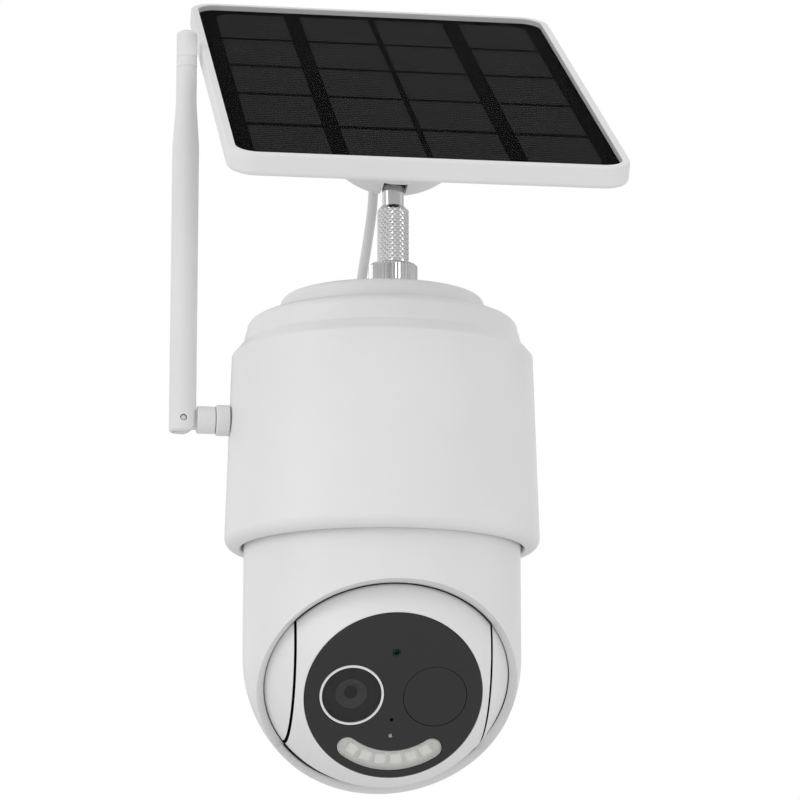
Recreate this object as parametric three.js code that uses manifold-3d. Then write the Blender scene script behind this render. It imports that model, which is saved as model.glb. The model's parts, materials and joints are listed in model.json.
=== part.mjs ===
// Solar-powered pan and tilt security camera, in millimetres, +Z up, front towards -Y.
// The origin is the centre of the wall bracket's back face; +Y points into the wall.
import * as THREE from 'three';
import { mergeVertices } from 'three/addons/utils/BufferGeometryUtils.js';
import Module from 'manifold-3d';

const wasm = await Module();
wasm.setup();
const { Manifold, Mesh } = wasm;

// ---------- driving dimensions ----------
const GAP = 0.3; // clearance between pieces that seat on each other
const RUN = 0.5; // clearance between pieces that move past each other
const WALL = 2.5; // wall of the moulded shells

// pan housing, the turning lower half, heights from the underside of the upper housing's lip
const PAN_R = 60.3; // outer radius, of its cylinder and of its round bottom
const PAN_GAP = 1.5; // gap between the upper housing's lip and the pan housing
const PAN_TOP_Z = 13; // top of the pan housing, inside the upper housing
const PAN_WALL = 3; // wall of its cylinder
const BALL_RISE = 13.2; // how much less than its radius the ball centre lies below the lip
const BALL_Z = BALL_RISE - PAN_R; // ball centre
const BALL_INSET = 1.5; // from the inside of the pan housing's wall to the ball
const BALL_R = PAN_R - PAN_WALL - BALL_INSET; // camera head's ball

// upper housing
const SHELL_LIP_T = 6.9; // thickness of the lower lip
const SHELL_DRAFT = 2.5; // how much narrower the skirt is at its top
const SHELL_R_LOW = PAN_R + PAN_GAP + SHELL_LIP_T; // outer radius just above the lower lip
const SHELL_R_TOP = SHELL_R_LOW - SHELL_DRAFT; // outer radius at the top of the skirt
const SHELL_LIP_R = 5; // rounding of the lower lip
const SHELL_SKIRT_Z = 85.7; // top of the straight skirt
const SHELL_LEDGE = 3.9; // how far the ledge above the skirt steps in
const SHELL_TIER_H = 8; // height of the second tier's wall
const SHELL_SHOULDER = 8.4; // how far the shoulder rounds in above the second tier
const CAP_R = 45; // top cap
const CAP_H = 9; // top cap, deck to flat top
const CAP_ROUND = 3.5; // rounding of the cap's top edge
const CAP_SPIGOT_R = 40; // ring under the cap that centres it in the shell

// camera head
const HEAD_HALF_W = 41.5; // half the width of the turning band of the ball
const SIDE_GAP = 1; // gap between the band and the fixed side covers
const FACE_PITCH = 30.5; // degrees that the head looks down at rest
const PLATE_R = 37.87; // face plate
const FACE_FLAT = Math.sqrt(BALL_R ** 2 - (PLATE_R + GAP) ** 2); // ball centre to the flat face
const OPENING_LIP = 5.8; // how much less than the ball's the radius of the head's opening is
const OPENING_R = BALL_R - OPENING_LIP;
const OPENING_DEPTH = 18; // ball centre to where the opening starts to widen outward
const OPENING_PITCH = 41.8; // how far the opening looks down
const OPENING_WIDE = 1.035; // how much wider than high it is
const OPENING_RIM = 3; // wall of the rim round the opening
const HEAD_BACK = 25; // ball centre to the flat back of the head
const HEAD_SEAM = 8; // ball centre to the seam between the head's two shells

// face
const PLATE_T = 2.4; // face plate thickness
const LENS_X = 17.8; // lens and motion window, either side of the middle
const LENS_RING_R = 13.7; // outer radius of the white ring round the lens
const LENS_RING_W = 1; // width of that ring
const LENS_R = 6.75; // lens barrel
const MOTION_R = 13.5; // motion sensor window
const SMILE_R = 30; // middle of the lamp window's arc
const SMILE_W = 8.7; // width of the lamp window
const SMILE_HALF = 37; // degrees either side of straight down
const DAYLIGHT_Z = 19.7; // daylight sensor hole, above the middle
const DAYLIGHT_R = 2;
const MIC_Z = -11; // microphone hole
const MIC_R = 0.8;
const STATUS_Z = -18.4; // status light
const STATUS_R = 0.9;

// drives
const PAN_MODULE = 1.2;
const PAN_TEETH = 48;
const PAN_PINION_TEETH = 12;
const TILT_MODULE = 0.8;
const TILT_TEETH = 24;
const TILT_PINION_TEETH = 12;
const GEAR_T = 5; // face width of the gears
const SPINDLE_R = 11; // hollow spindle that the pan housing hangs on
const SPINDLE_BORE_R = 8;
const AXLE_R = 4; // tilt axle pins

// power and electronics
const CELL_R = 9.2; // lithium cell
const CELL_L = 65;
const CELL_COUNT = 4;
const CELL_SPACING = 1.2; // gap between cells
const CELL_PITCH = 2 * CELL_R + CELL_SPACING;
const BOARD_T = 1.6; // circuit boards

// wall bracket
const PLATE_W = 84;
const PLATE_H = 64;
const BRACKET_T = 5;
const ARM_W = 44; // rectangular stub on the upper housing's back
const ARM_H = 36;
const ARM_REACH = 22; // skirt to bracket plate
const ARM_SOCKET = 14; // depth of the bracket's socket over the stub
const ARM_SLEEVE_T = 4; // wall of that socket
const ARM_Z = 44; // height of the stub's middle, from the underside of the lip
const WALL_SCREW_R = 2.5;
const WALL_SCREW_X = 33;
const WALL_SCREW_Z = 23;

// post between the camera and the solar panel
const POST_X = 1;
const POST_Y = -26.1; // from the pan axis, towards the front
const STEM_R = 4.8;
const SLEEVE_R = 6.9;
const SLEEVE_L = 25.8;
const RING_R = 10.7;
const RING_H = 9.4;
const STUD_R = 3.17; // quarter-inch camera thread
const STUD_L = 10;
const PIVOT_H = 79; // panel pivot above the top cap

// solar panel, in its own tilted frame about the pivot
const PANEL_TILT = 32.3; // degrees at rest
const PANEL_SHIFT_X = 1.4; // the panel's middle, to the side of the post
const GLASS_W = 160.4;
const GLASS_D = 229.6;
const GLASS_T = 1.8;
const GLASS_CORNER_R = 9;
const BEZEL = 3.6; // visible frame round the glass
const PANEL_T = 9.8; // frame thickness
const PANEL_RISE = 14.1; // pivot to the outer face of the glass
const CELLSHEET_T = 0.4;
const LEDGE_W = 4; // ledge that the glass rests on
const BACK_T = 2.5;
const HUB_R = 37; // round hub behind the panel
const PANEL_UP = 32; // degrees of travel towards flat
const PANEL_DOWN = 6; // degrees of travel towards upright
const CABLE_R = 2.2;

// antenna
const ANT_Z = 55.7; // stub axis, from the underside of the lip
const ANT_OUT = 20.67; // rod axis, out from the skirt
const ROD_R = 5.9;
const ROD_TIP_R = 4.55;
const ROD_L = 182;
const ROD_BELOW = 5.6; // rod end below the hinge pin
const STUB_R = 6;
const NUT_R = 6.8;
const NUT_L = 6;
const TONGUE_T = 4;
const TONGUE_R = 4.2;

// service pocket behind the rubber cover
const POCKET_ANGLE = 45; // degrees round from +X towards the wall
const POCKET_W = 38;
const POCKET_H = 22;
const POCKET_DEPTH = 18;
const POCKET_Z = 34;
const BUTTON_R = 2.4;
const BUTTON_TRAVEL = 1;

const COARSE = 32; // sides of the large round pieces
const FINE = 14; // sides of the small round pieces
const rad = THREE.MathUtils.degToRad;

// ---------- solids ----------
function solid(geometry) {
  const bare = geometry.index ? geometry.clone() : geometry;
  bare.deleteAttribute('normal');
  bare.deleteAttribute('uv');
  const merged = mergeVertices(bare, 1e-4);
  const vertProperties = new Float32Array(merged.attributes.position.array);
  const triVerts = new Uint32Array(merged.index.array);
  if (signedVolume(vertProperties, triVerts) < 0) {
    for (let i = 0; i < triVerts.length; i += 3) {
      const first = triVerts[i];
      triVerts[i] = triVerts[i + 1];
      triVerts[i + 1] = first;
    }
  }
  return new Manifold(new Mesh({ numProp: 3, vertProperties, triVerts }));
}

function signedVolume(points, triangles) {
  const a = new THREE.Vector3();
  const b = new THREE.Vector3();
  const c = new THREE.Vector3();
  let volume = 0;
  for (let i = 0; i < triangles.length; i += 3) {
    a.fromArray(points, triangles[i] * 3);
    b.fromArray(points, triangles[i + 1] * 3);
    c.fromArray(points, triangles[i + 2] * 3);
    volume += a.dot(b.cross(c)) / 6;
  }
  return volume;
}

function box(x0, x1, y0, y1, z0, z1) {
  const g = new THREE.BoxGeometry(x1 - x0, y1 - y0, z1 - z0);
  g.translate((x0 + x1) / 2, (y0 + y1) / 2, (z0 + z1) / 2);
  return solid(g);
}

// A cylinder or cone along Z, from z0 to z1.
function rod(r0, z0, z1, sides = FINE, r1 = r0, x = 0, y = 0) {
  const g = new THREE.CylinderGeometry(r1, r0, z1 - z0, sides);
  g.rotateX(Math.PI / 2);
  g.translate(x, y, (z0 + z1) / 2);
  return solid(g);
}

function ring(rOut, rIn, z0, z1, sides = FINE, x = 0, y = 0) {
  return rod(rOut, z0, z1, sides, rOut, x, y).subtract(rod(rIn, z0 - 1, z1 + 1, sides, rIn, x, y));
}

function ball(r, sides = COARSE) {
  const g = new THREE.SphereGeometry(r, sides, sides / 2);
  g.rotateX(Math.PI / 2);
  return solid(g);
}

// Turned about Z from [radius, height] points.
function turned(points, sides = COARSE) {
  const g = new THREE.LatheGeometry(points.map(([r, z]) => new THREE.Vector2(r, z)), sides);
  g.rotateX(Math.PI / 2);
  return solid(g);
}

// Points on a rounded corner, from one angle to another in degrees.
function corner(r, z, radius, from, to, steps) {
  const points = [];
  for (let i = 0; i <= steps; i += 1) {
    const t = rad(from + ((to - from) * i) / steps);
    points.push([r + radius * Math.cos(t), z + radius * Math.sin(t)]);
  }
  return points;
}

function extruded(shape, z0, z1, curveSegments = 5) {
  const g = new THREE.ExtrudeGeometry(shape, { depth: z1 - z0, bevelEnabled: false, curveSegments });
  g.translate(0, 0, z0);
  return solid(g);
}

function roundedRect(w, d, r) {
  const s = new THREE.Shape();
  const x = w / 2;
  const y = d / 2;
  s.moveTo(-x + r, -y);
  s.lineTo(x - r, -y);
  s.absarc(x - r, -y + r, r, -Math.PI / 2, 0);
  s.lineTo(x, y - r);
  s.absarc(x - r, y - r, r, 0, Math.PI / 2);
  s.lineTo(-x + r, y);
  s.absarc(-x + r, y - r, r, Math.PI / 2, Math.PI);
  s.lineTo(-x, -y + r);
  s.absarc(-x + r, -y + r, r, Math.PI, 1.5 * Math.PI);
  return s;
}

function slab(w, d, r, z0, z1) {
  return extruded(roundedRect(w, d, r), z0, z1);
}

// A spur gear about Z with a tooth, or with a gap, centred on the given angle in degrees.
function gear(module, teeth, z0, z1, angle, gapCentred) {
  const pitchR = (module * teeth) / 2;
  const pitch = (2 * Math.PI) / teeth;
  const start = rad(angle) + (gapCentred ? pitch / 2 : 0);
  const tooth = [[pitchR - 1.1 * module, 0.27], [pitchR + 0.75 * module, 0.1]];
  const shape = new THREE.Shape();
  for (let i = 0; i < teeth; i += 1) {
    const middle = start + i * pitch;
    const flank = [[tooth[0], -1], [tooth[1], -1], [tooth[1], 1], [tooth[0], 1]];
    flank.forEach(([[r, share], side], k) => {
      const a = middle + side * share * pitch;
      const move = i === 0 && k === 0 ? 'moveTo' : 'lineTo';
      shape[move](r * Math.cos(a), r * Math.sin(a));
    });
  }
  return extruded(shape, z0, z1);
}

function along(axis, body) {
  return axis === 'x' ? body.rotate([0, 90, 0]) : body.rotate([90, 0, 0]);
}

function union(list) {
  return list.reduce((a, b) => a.add(b));
}

// ---------- materials ----------
function material(colour, roughness, metalness = 0) {
  return new THREE.MeshStandardMaterial({ color: colour, roughness, metalness });
}
const MATERIALS = {
  white: [0xdedede, 0.45],
  soft_white: [0xd4d4d4, 0.55],
  dark: [0x383838, 0.4],
  black: [0x111111, 0.15],
  nickel: [0xb8b8ba, 0.25, 1],
  steel: [0x9a9c9e, 0.35, 1],
  brass: [0xb08d4a, 0.35, 1],
  board: [0x1f5a36, 0.6],
  cell: [0x2c6fb0, 0.45],
  gear: [0xe8e4d8, 0.5],
  rubber: [0x2a2a2a, 0.8],
  lamp: [0xe6e2d8, 0.35],
  lens: [0x6c6c70, 0.25, 0.4],
  panel: [0x2a2a2c, 0.3],
};

function piece(name, body, look, parent) {
  const { vertProperties, triVerts, numProp } = body.getMesh();
  const positions = new Float32Array((vertProperties.length / numProp) * 3);
  for (let i = 0; i < positions.length / 3; i += 1) {
    positions.set(vertProperties.subarray(i * numProp, i * numProp + 3), i * 3);
  }
  const g = new THREE.BufferGeometry();
  g.setAttribute('position', new THREE.BufferAttribute(positions, 3));
  g.setIndex(new THREE.BufferAttribute(new Uint32Array(triVerts), 1));
  g.computeVertexNormals();
  const mesh = new THREE.Mesh(g, material(...MATERIALS[look]));
  mesh.name = name;
  parent.add(mesh);
}

// ---------- scene graph ----------
const camera = new THREE.Group();
const body = new THREE.Group(); // pan axis, underside of the upper housing's lip
const WALL_TO_AXIS = BRACKET_T + ARM_REACH + SHELL_R_TOP;
body.position.set(0, -WALL_TO_AXIS, -ARM_Z);
camera.add(body);
const head = new THREE.Group(); // ball centre, face towards -Y
head.position.set(0, 0, BALL_Z);
head.rotation.x = rad(FACE_PITCH);
body.add(head);

// Places worked out from the driving dimensions.
const CHAMFER_TOP_Z = SHELL_SKIRT_Z + SHELL_LEDGE;
const TIER_R = SHELL_R_TOP - SHELL_LEDGE - 1;
const TIER_TOP_Z = CHAMFER_TOP_Z + SHELL_TIER_H;
const DECK_Z = TIER_TOP_Z + SHELL_SHOULDER * 0.6;
const CAP_Z = DECK_Z + GAP;
const CAP_TOP_Z = CAP_Z + CAP_H;
const LIP_IN_R = PAN_R + PAN_GAP;
const BASE_Z = PAN_TOP_Z + 3; // base plate, above the pan housing
const BASE_T = 3;
const POCKET_OUT = SHELL_R_TOP + 0.5;
const pocketTurn = rad(POCKET_ANGLE);

// A body modelled for the pocket with its mouth towards +X, turned to where the pocket is.
function atPocket(part) {
  return part.rotate([0, 0, POCKET_ANGLE]).translate([0, 0, POCKET_Z]);
}

function skirtRadius(z) {
  const t = (z - SHELL_LIP_R) / (SHELL_SKIRT_Z - SHELL_LIP_R);
  return SHELL_R_LOW + (SHELL_R_TOP - SHELL_R_LOW) * t;
}

// ---------- upper housing ----------
function upperOutline() {
  return [
    [0, 0],
    [SHELL_R_LOW - SHELL_LIP_R, 0],
    ...corner(SHELL_R_LOW - SHELL_LIP_R, SHELL_LIP_R, SHELL_LIP_R, -68, 0, 4),
    [SHELL_R_TOP, SHELL_SKIRT_Z],
    [SHELL_R_TOP - 0.5, SHELL_SKIRT_Z + 1],
    [SHELL_R_TOP - SHELL_LEDGE, CHAMFER_TOP_Z],
    [TIER_R, CHAMFER_TOP_Z + 1.2],
    [TIER_R - 1.8, TIER_TOP_Z],
    [TIER_R - 1.8 - SHELL_SHOULDER * 0.25, TIER_TOP_Z + SHELL_SHOULDER * 0.36],
    [TIER_R - 1.8 - SHELL_SHOULDER * 0.6, TIER_TOP_Z + SHELL_SHOULDER * 0.53],
    [TIER_R - 1.8 - SHELL_SHOULDER, DECK_Z],
    [0, DECK_Z],
  ];
}

function upperHollow() {
  return [
    [0, BASE_Z - GAP],
    [skirtRadius(BASE_Z) - WALL, BASE_Z - GAP],
    [SHELL_R_TOP - WALL, SHELL_SKIRT_Z],
    [SHELL_R_TOP - SHELL_LEDGE - WALL, CHAMFER_TOP_Z],
    [TIER_R - WALL - 1.8, TIER_TOP_Z],
    [TIER_R - WALL - 1.8 - SHELL_SHOULDER, DECK_Z - WALL],
    [0, DECK_Z - WALL],
  ];
}

const armEnd = WALL_TO_AXIS - BRACKET_T - GAP;
let shell = turned(upperOutline()).add(
  box(-ARM_W / 2, ARM_W / 2, SHELL_R_TOP - 12, armEnd, ARM_Z - ARM_H / 2, ARM_Z + ARM_H / 2),
);
// pocket liner, its mouth at the skirt
shell = shell.subtract(turned(upperHollow()));
shell = shell.subtract(rod(LIP_IN_R, -1, BASE_Z, COARSE));
shell = shell.subtract(rod(CAP_SPIGOT_R, DECK_Z - WALL - 1, DECK_Z + 1, COARSE));
const linerIn = POCKET_OUT - POCKET_DEPTH;
const POCKET_WALL = 2;
const linerW = POCKET_W / 2 + POCKET_WALL;
const linerH = POCKET_H / 2 + POCKET_WALL;
const liner = box(linerIn - POCKET_WALL, POCKET_OUT + 2, -linerW, linerW, -linerH, linerH);
const pocketHollow = box(linerIn, POCKET_OUT + 9, -POCKET_W / 2, POCKET_W / 2, -POCKET_H / 2, POCKET_H / 2);
shell = shell.add(atPocket(liner).intersect(turned(upperOutline())));
shell = shell.subtract(atPocket(pocketHollow));
const BUTTON_Y = 13;
const CARD_W = 15;
const CARD_SLOT_H = 3;
const pocketHoles = union([
  along('x', rod(BUTTON_R + GAP, -4, 4)).translate([linerIn - 1, BUTTON_Y, 5]),
  along('x', rod(BUTTON_R + GAP, -4, 4)).translate([linerIn - 1, BUTTON_Y, -5]),
  box(linerIn - 4, linerIn + 4, -CARD_W / 2 - 4, CARD_W / 2 - 4, -CARD_SLOT_H / 2, CARD_SLOT_H / 2),
]);
shell = shell.subtract(atPocket(pocketHoles));
// speaker grille, on the other side of the back
const GRILLE_ANGLE = 135;
const GRILLE_Z = 36;
for (let i = -2; i <= 2; i += 1) {
  const slot = box(SHELL_R_TOP - 8, SHELL_R_LOW + 4, i * 5 - 1, i * 5 + 1, GRILLE_Z - 8, GRILLE_Z + 8);
  shell = shell.subtract(slot.rotate([0, 0, GRILLE_ANGLE]));
}
// antenna hole and the bracket screws' pilot holes
const SMA_R = 3.2;
shell = shell.subtract(along('x', rod(SMA_R + GAP, -8, 8)).translate([-SHELL_R_TOP, 0, ANT_Z]));
const ARM_SCREW_R = 2;
const armScrewY = armEnd - ARM_SOCKET / 2;
shell = shell.subtract(along('x', rod(ARM_SCREW_R + GAP, -40, 40)).translate([0, armScrewY, ARM_Z]));
piece('upper_shell', shell, 'white', body);

// top cap, with the threaded insert's boss and the cable gland's hole
const capPoints = [
  [0, CAP_Z],
  [CAP_R, CAP_Z],
  ...corner(CAP_R - CAP_ROUND, CAP_TOP_Z - CAP_ROUND, CAP_ROUND, 0, 90, 4),
  [0, CAP_TOP_Z],
];
const INSERT_R = 5.2;
const insertZ = CAP_TOP_Z - STUD_L - 1.5;
const GLAND_X = -9;
const GLAND_Y = 9;
const GLAND_R = 4.5;
const glandHoleR = GLAND_R - 1.2 + GAP;
const capHollow = rod(CAP_SPIGOT_R - WALL, CAP_Z - 6, CAP_TOP_Z - WALL, COARSE);
const cap = turned(capPoints)
  .add(ring(CAP_SPIGOT_R - GAP, CAP_SPIGOT_R - WALL, CAP_Z - 5, CAP_Z + 1, COARSE))
  .subtract(capHollow)
  .add(rod(INSERT_R + 2.5, insertZ, CAP_TOP_Z - 1, FINE, INSERT_R + 2.5, POST_X, POST_Y))
  .subtract(rod(INSERT_R + GAP, insertZ - 1, CAP_TOP_Z - 2.5, FINE, INSERT_R + GAP, POST_X, POST_Y))
  .subtract(rod(STUD_R + 2 * GAP, CAP_TOP_Z - 4, CAP_TOP_Z + 1, FINE, STUD_R + 2 * GAP, POST_X, POST_Y))
  .subtract(rod(glandHoleR, CAP_TOP_Z - 5, CAP_TOP_Z + 1, FINE, glandHoleR, GLAND_X, GLAND_Y));
piece('top_cap', cap, 'white', body);
piece(
  'threaded_insert',
  ring(INSERT_R, STUD_R + GAP, insertZ, CAP_TOP_Z - 2.5 - GAP, FINE, POST_X, POST_Y),
  'brass',
  body,
);
const gland = rod(GLAND_R, CAP_TOP_Z + GAP, CAP_TOP_Z + 3, FINE, GLAND_R - 0.8, GLAND_X, GLAND_Y)
  .add(rod(GLAND_R - 1.2, CAP_TOP_Z - 4, CAP_TOP_Z + 1, FINE, GLAND_R - 1.2, GLAND_X, GLAND_Y))
  .subtract(rod(CABLE_R + GAP, CAP_TOP_Z - 5, CAP_TOP_Z + 4, 12, CABLE_R + GAP, GLAND_X, GLAND_Y));
piece('cable_gland', gland, 'soft_white', body);

// base plate that closes the upper housing and carries the pan bearing and motor
const PAN_CENTRES = (PAN_MODULE * (PAN_TEETH + PAN_PINION_TEETH)) / 2;
const MOTOR_R = 14;
const MOTOR_H = 19;
const BUSH_R = SPINDLE_R + GAP + 2.4;
let basePlate = rod(skirtRadius(BASE_Z) - WALL - 2 * GAP, BASE_Z, BASE_Z + BASE_T, COARSE);
basePlate = basePlate.subtract(rod(BUSH_R + GAP, BASE_Z - 1, BASE_Z + BASE_T + 1, FINE));
piece('base_plate', basePlate, 'soft_white', body);
const bush = ring(BUSH_R + 6, SPINDLE_R + GAP, PAN_TOP_Z + GAP, BASE_Z - GAP, COARSE)
  .add(ring(BUSH_R, SPINDLE_R + GAP, PAN_TOP_Z + 1, BASE_Z + BASE_T));
piece('pan_bush', bush, 'gear', body);
const motorZ = BASE_Z + BASE_T + GAP;
const gearZ = motorZ + MOTOR_H + 2;
const shaftTop = gearZ + GEAR_T + 1;
const panMotor = rod(MOTOR_R, motorZ, motorZ + MOTOR_H, FINE, MOTOR_R, 0, -PAN_CENTRES)
  .add(rod(4, motorZ + MOTOR_H - 1, motorZ + MOTOR_H + 1, FINE, 4, 0, -PAN_CENTRES))
  .add(rod(2, motorZ + MOTOR_H - 1, shaftTop, FINE, 2, 0, -PAN_CENTRES))
  .add(box(-17.5, 17.5, -PAN_CENTRES - 3.5, -PAN_CENTRES + 3.5, motorZ, motorZ + 1.2));
piece('pan_motor', panMotor, 'steel', body);
const panPinion = gear(PAN_MODULE, PAN_PINION_TEETH, gearZ, gearZ + GEAR_T, 90, true)
  .subtract(rod(2 + GAP, gearZ - 1, gearZ + GEAR_T + 1))
  .translate([0, -PAN_CENTRES, 0]);
piece('pan_pinion', panPinion, 'brass', body);

// battery pack and main board
const packZ = gearZ + GEAR_T + 3;
const cellZ = packZ + 2 + GAP + CELL_R;
const rowHalf = ((CELL_COUNT - 1) / 2) * CELL_PITCH;
let tray = box(-CELL_L / 2 - 3, CELL_L / 2 + 3, -rowHalf - CELL_R, rowHalf + CELL_R, packZ, packZ + 2);
for (const side of [-1, 1]) {
  const x = side * (CELL_L / 2 + 2);
  tray = tray.add(box(x - 1, x + 1, -rowHalf - CELL_R, rowHalf + CELL_R, packZ, cellZ + 3));
}
piece('battery_tray', tray, 'rubber', body);
for (let i = 0; i < CELL_COUNT; i += 1) {
  const y = -rowHalf + i * CELL_PITCH;
  const half = CELL_L / 2;
  const cell = along('x', rod(CELL_R, -half, half - 1).add(rod(3, half - 2, half - GAP, 16)));
  piece(`battery_cell_${i + 1}`, cell.translate([0, y, cellZ]), 'cell', body);
}
const boardZ = cellZ + CELL_R + 3;
const mainBoard = box(-38, 38, -28, 28, boardZ, boardZ + BOARD_T)
  .add(box(-12, 4, -10, 6, boardZ + 1, boardZ + 3.4))
  .add(box(10, 24, -16, -4, boardZ + 1, boardZ + 3))
  .add(box(-32, -20, 8, 22, boardZ + 1, boardZ + 5))
  .add(rod(4, boardZ + 1, boardZ + 7, 16, 4, 28, 16));
piece('main_board', mainBoard, 'board', body);

// speaker behind the grille
const speakerFace = skirtRadius(GRILLE_Z) - WALL - 3;
const speakerBody = rod(13, speakerFace - 3, speakerFace).add(rod(8, speakerFace - 9, speakerFace - 2));
const speaker = along('x', speakerBody)
  .translate([0, 0, GRILLE_Z])
  .rotate([0, 0, GRILLE_ANGLE]);
piece('speaker', speaker, 'rubber', body);

// service pocket: rubber cover, buttons, card reader and their board
const coverIn = POCKET_OUT - 6.5;
const coverW = POCKET_W / 2 - GAP;
const coverH = POCKET_H / 2 - GAP;
const coverBlock = box(coverIn, POCKET_OUT + 9, -coverW, coverW, -coverH, coverH);
const coverSkin = turned([
  [0, POCKET_Z - POCKET_H],
  [skirtRadius(POCKET_Z - POCKET_H), POCKET_Z - POCKET_H],
  [skirtRadius(POCKET_Z + POCKET_H), POCKET_Z + POCKET_H],
  [0, POCKET_Z + POCKET_H],
]);
piece('service_cover', atPocket(coverBlock).intersect(coverSkin), 'rubber', body);
const buttonBack = linerIn - 3.5;
const BUTTON_OUT = 1.6; // how far a button stands out of the pocket's floor
for (const [name, z] of [['power_button', 5], ['reset_button', -5]]) {
  const button = along('x', rod(BUTTON_R, buttonBack, linerIn + BUTTON_OUT));
  piece(name, atPocket(button.translate([0, BUTTON_Y, z])), 'dark', body);
}
const serviceBoardX = buttonBack - BUTTON_TRAVEL - 3;
const serviceBoard = box(serviceBoardX - BOARD_T, serviceBoardX, -16, 18, -11, 11)
  .add(box(serviceBoardX - 1, serviceBoardX + 1.6, BUTTON_Y - 3, BUTTON_Y + 3, 2, 8))
  .add(box(serviceBoardX - 1, serviceBoardX + 1.6, BUTTON_Y - 3, BUTTON_Y + 3, -8, -2))
  .add(box(serviceBoardX - 1, linerIn - 2 - GAP, -CARD_W / 2 - 5.5, CARD_W / 2 - 2.5, -3, 3))
  .subtract(box(serviceBoardX + 1.5, linerIn + 4, -CARD_W / 2 - 4.5, CARD_W / 2 - 3.5, -1.2, 1.2));
piece('service_board', atPocket(serviceBoard), 'board', body);

// wall bracket and its screws
const plateZ0 = ARM_Z - PLATE_H / 2;
const sleeveFront = armEnd - ARM_SOCKET;
let bracket = slab(PLATE_W, PLATE_H, 6, 0, BRACKET_T)
  .rotate([90, 0, 0])
  .translate([0, WALL_TO_AXIS, ARM_Z])
  .add(
    box(
      -ARM_W / 2 - GAP - ARM_SLEEVE_T,
      ARM_W / 2 + GAP + ARM_SLEEVE_T,
      sleeveFront,
      WALL_TO_AXIS - 1,
      ARM_Z - ARM_H / 2 - GAP - ARM_SLEEVE_T,
      ARM_Z + ARM_H / 2 + GAP + ARM_SLEEVE_T,
    ),
  )
  .subtract(
    box(
      -ARM_W / 2 - GAP,
      ARM_W / 2 + GAP,
      sleeveFront - 1,
      WALL_TO_AXIS - BRACKET_T,
      ARM_Z - ARM_H / 2 - GAP,
      ARM_Z + ARM_H / 2 + GAP,
    ),
  )
  .subtract(along('x', rod(ARM_SCREW_R + GAP, -40, 40)).translate([0, armScrewY, ARM_Z]));
for (const x of [-WALL_SCREW_X, WALL_SCREW_X]) {
  for (const z of [-WALL_SCREW_Z, WALL_SCREW_Z]) {
    const headR = WALL_SCREW_R + 2.3;
    const hole = rod(WALL_SCREW_R, -1, BRACKET_T + 1).add(
      rod(WALL_SCREW_R, BRACKET_T - 2.2, BRACKET_T + 0.1, FINE, headR),
    );
    bracket = bracket.subtract(hole.rotate([90, 0, 0]).translate([x, WALL_TO_AXIS, ARM_Z + z]));
  }
}
piece('wall_bracket', bracket, 'white', body);
const sleeveOut = ARM_W / 2 + GAP + ARM_SLEEVE_T;
for (const [name, side] of [['bracket_screw_left', -1], ['bracket_screw_right', 1]]) {
  const screw = rod(ARM_SCREW_R, ARM_W / 2 - 10, sleeveOut + GAP + 1).add(
    rod(3.8, sleeveOut + GAP, sleeveOut + GAP + 2.6),
  );
  const placed = along('x', screw.subtract(rod(1.6, sleeveOut + GAP + 1, sleeveOut + GAP + 4, 6)));
  piece(name, placed.rotate([0, 0, side < 0 ? 180 : 0]).translate([0, armScrewY, ARM_Z]), 'steel', body);
}

// ---------- pan housing ----------
let housing = rod(PAN_R, BALL_Z, PAN_TOP_Z, COARSE).add(ball(PAN_R).translate([0, 0, BALL_Z]));
const ballRoom = ball(BALL_R + RUN).translate([0, 0, BALL_Z]);

// The opening widens outward as a cone; grown by a wall, the same cone leaves the rim round it.
function openingCone(grow) {
  const radius = OPENING_R + grow;
  const start = OPENING_DEPTH - grow / 2;
  const cone = turned(
    [
      [0, start - 6],
      [radius, start - 6],
      [radius, start],
      [radius + PAN_R, start + PAN_R],
      [0, start + PAN_R],
    ],
    COARSE,
  );
  return along('y', cone)
    .scale([OPENING_WIDE, 1, 1])
    .rotate([OPENING_PITCH, 0, 0])
    .translate([0, 0, BALL_Z]);
}
const bore = rod(PAN_R - PAN_WALL, BALL_Z, PAN_TOP_Z + 1, COARSE).subtract(openingCone(OPENING_RIM));
housing = housing.subtract(bore).subtract(ballRoom).subtract(openingCone(0));
piece('pan_housing', housing, 'white', body);

const COVER_T = 3;
const coverZ = PAN_TOP_Z - COVER_T;
const panCover = rod(PAN_R - PAN_WALL - GAP, coverZ, PAN_TOP_Z, COARSE)
  .add(rod(SPINDLE_R, coverZ, gearZ - GAP))
  .add(rod(SPINDLE_R - 1.5, gearZ - 1, gearZ + GEAR_T + 1))
  .subtract(rod(SPINDLE_BORE_R, coverZ - 1, gearZ + GEAR_T + 2));
piece('pan_cover', panCover, 'soft_white', body);
const panGear = gear(PAN_MODULE, PAN_TEETH, gearZ, gearZ + GEAR_T, -90, false)
  .subtract(rod(SPINDLE_R - 1.5 + GAP, gearZ - 1, gearZ + GEAR_T + 1));
piece('pan_gear', panGear, 'gear', body);
const clipZ = BASE_Z + BASE_T + 2 * GAP;
piece('spindle_clip', ring(SPINDLE_R + 5, SPINDLE_R + GAP, clipZ, clipZ + 1.6), 'steel', body);

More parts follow.
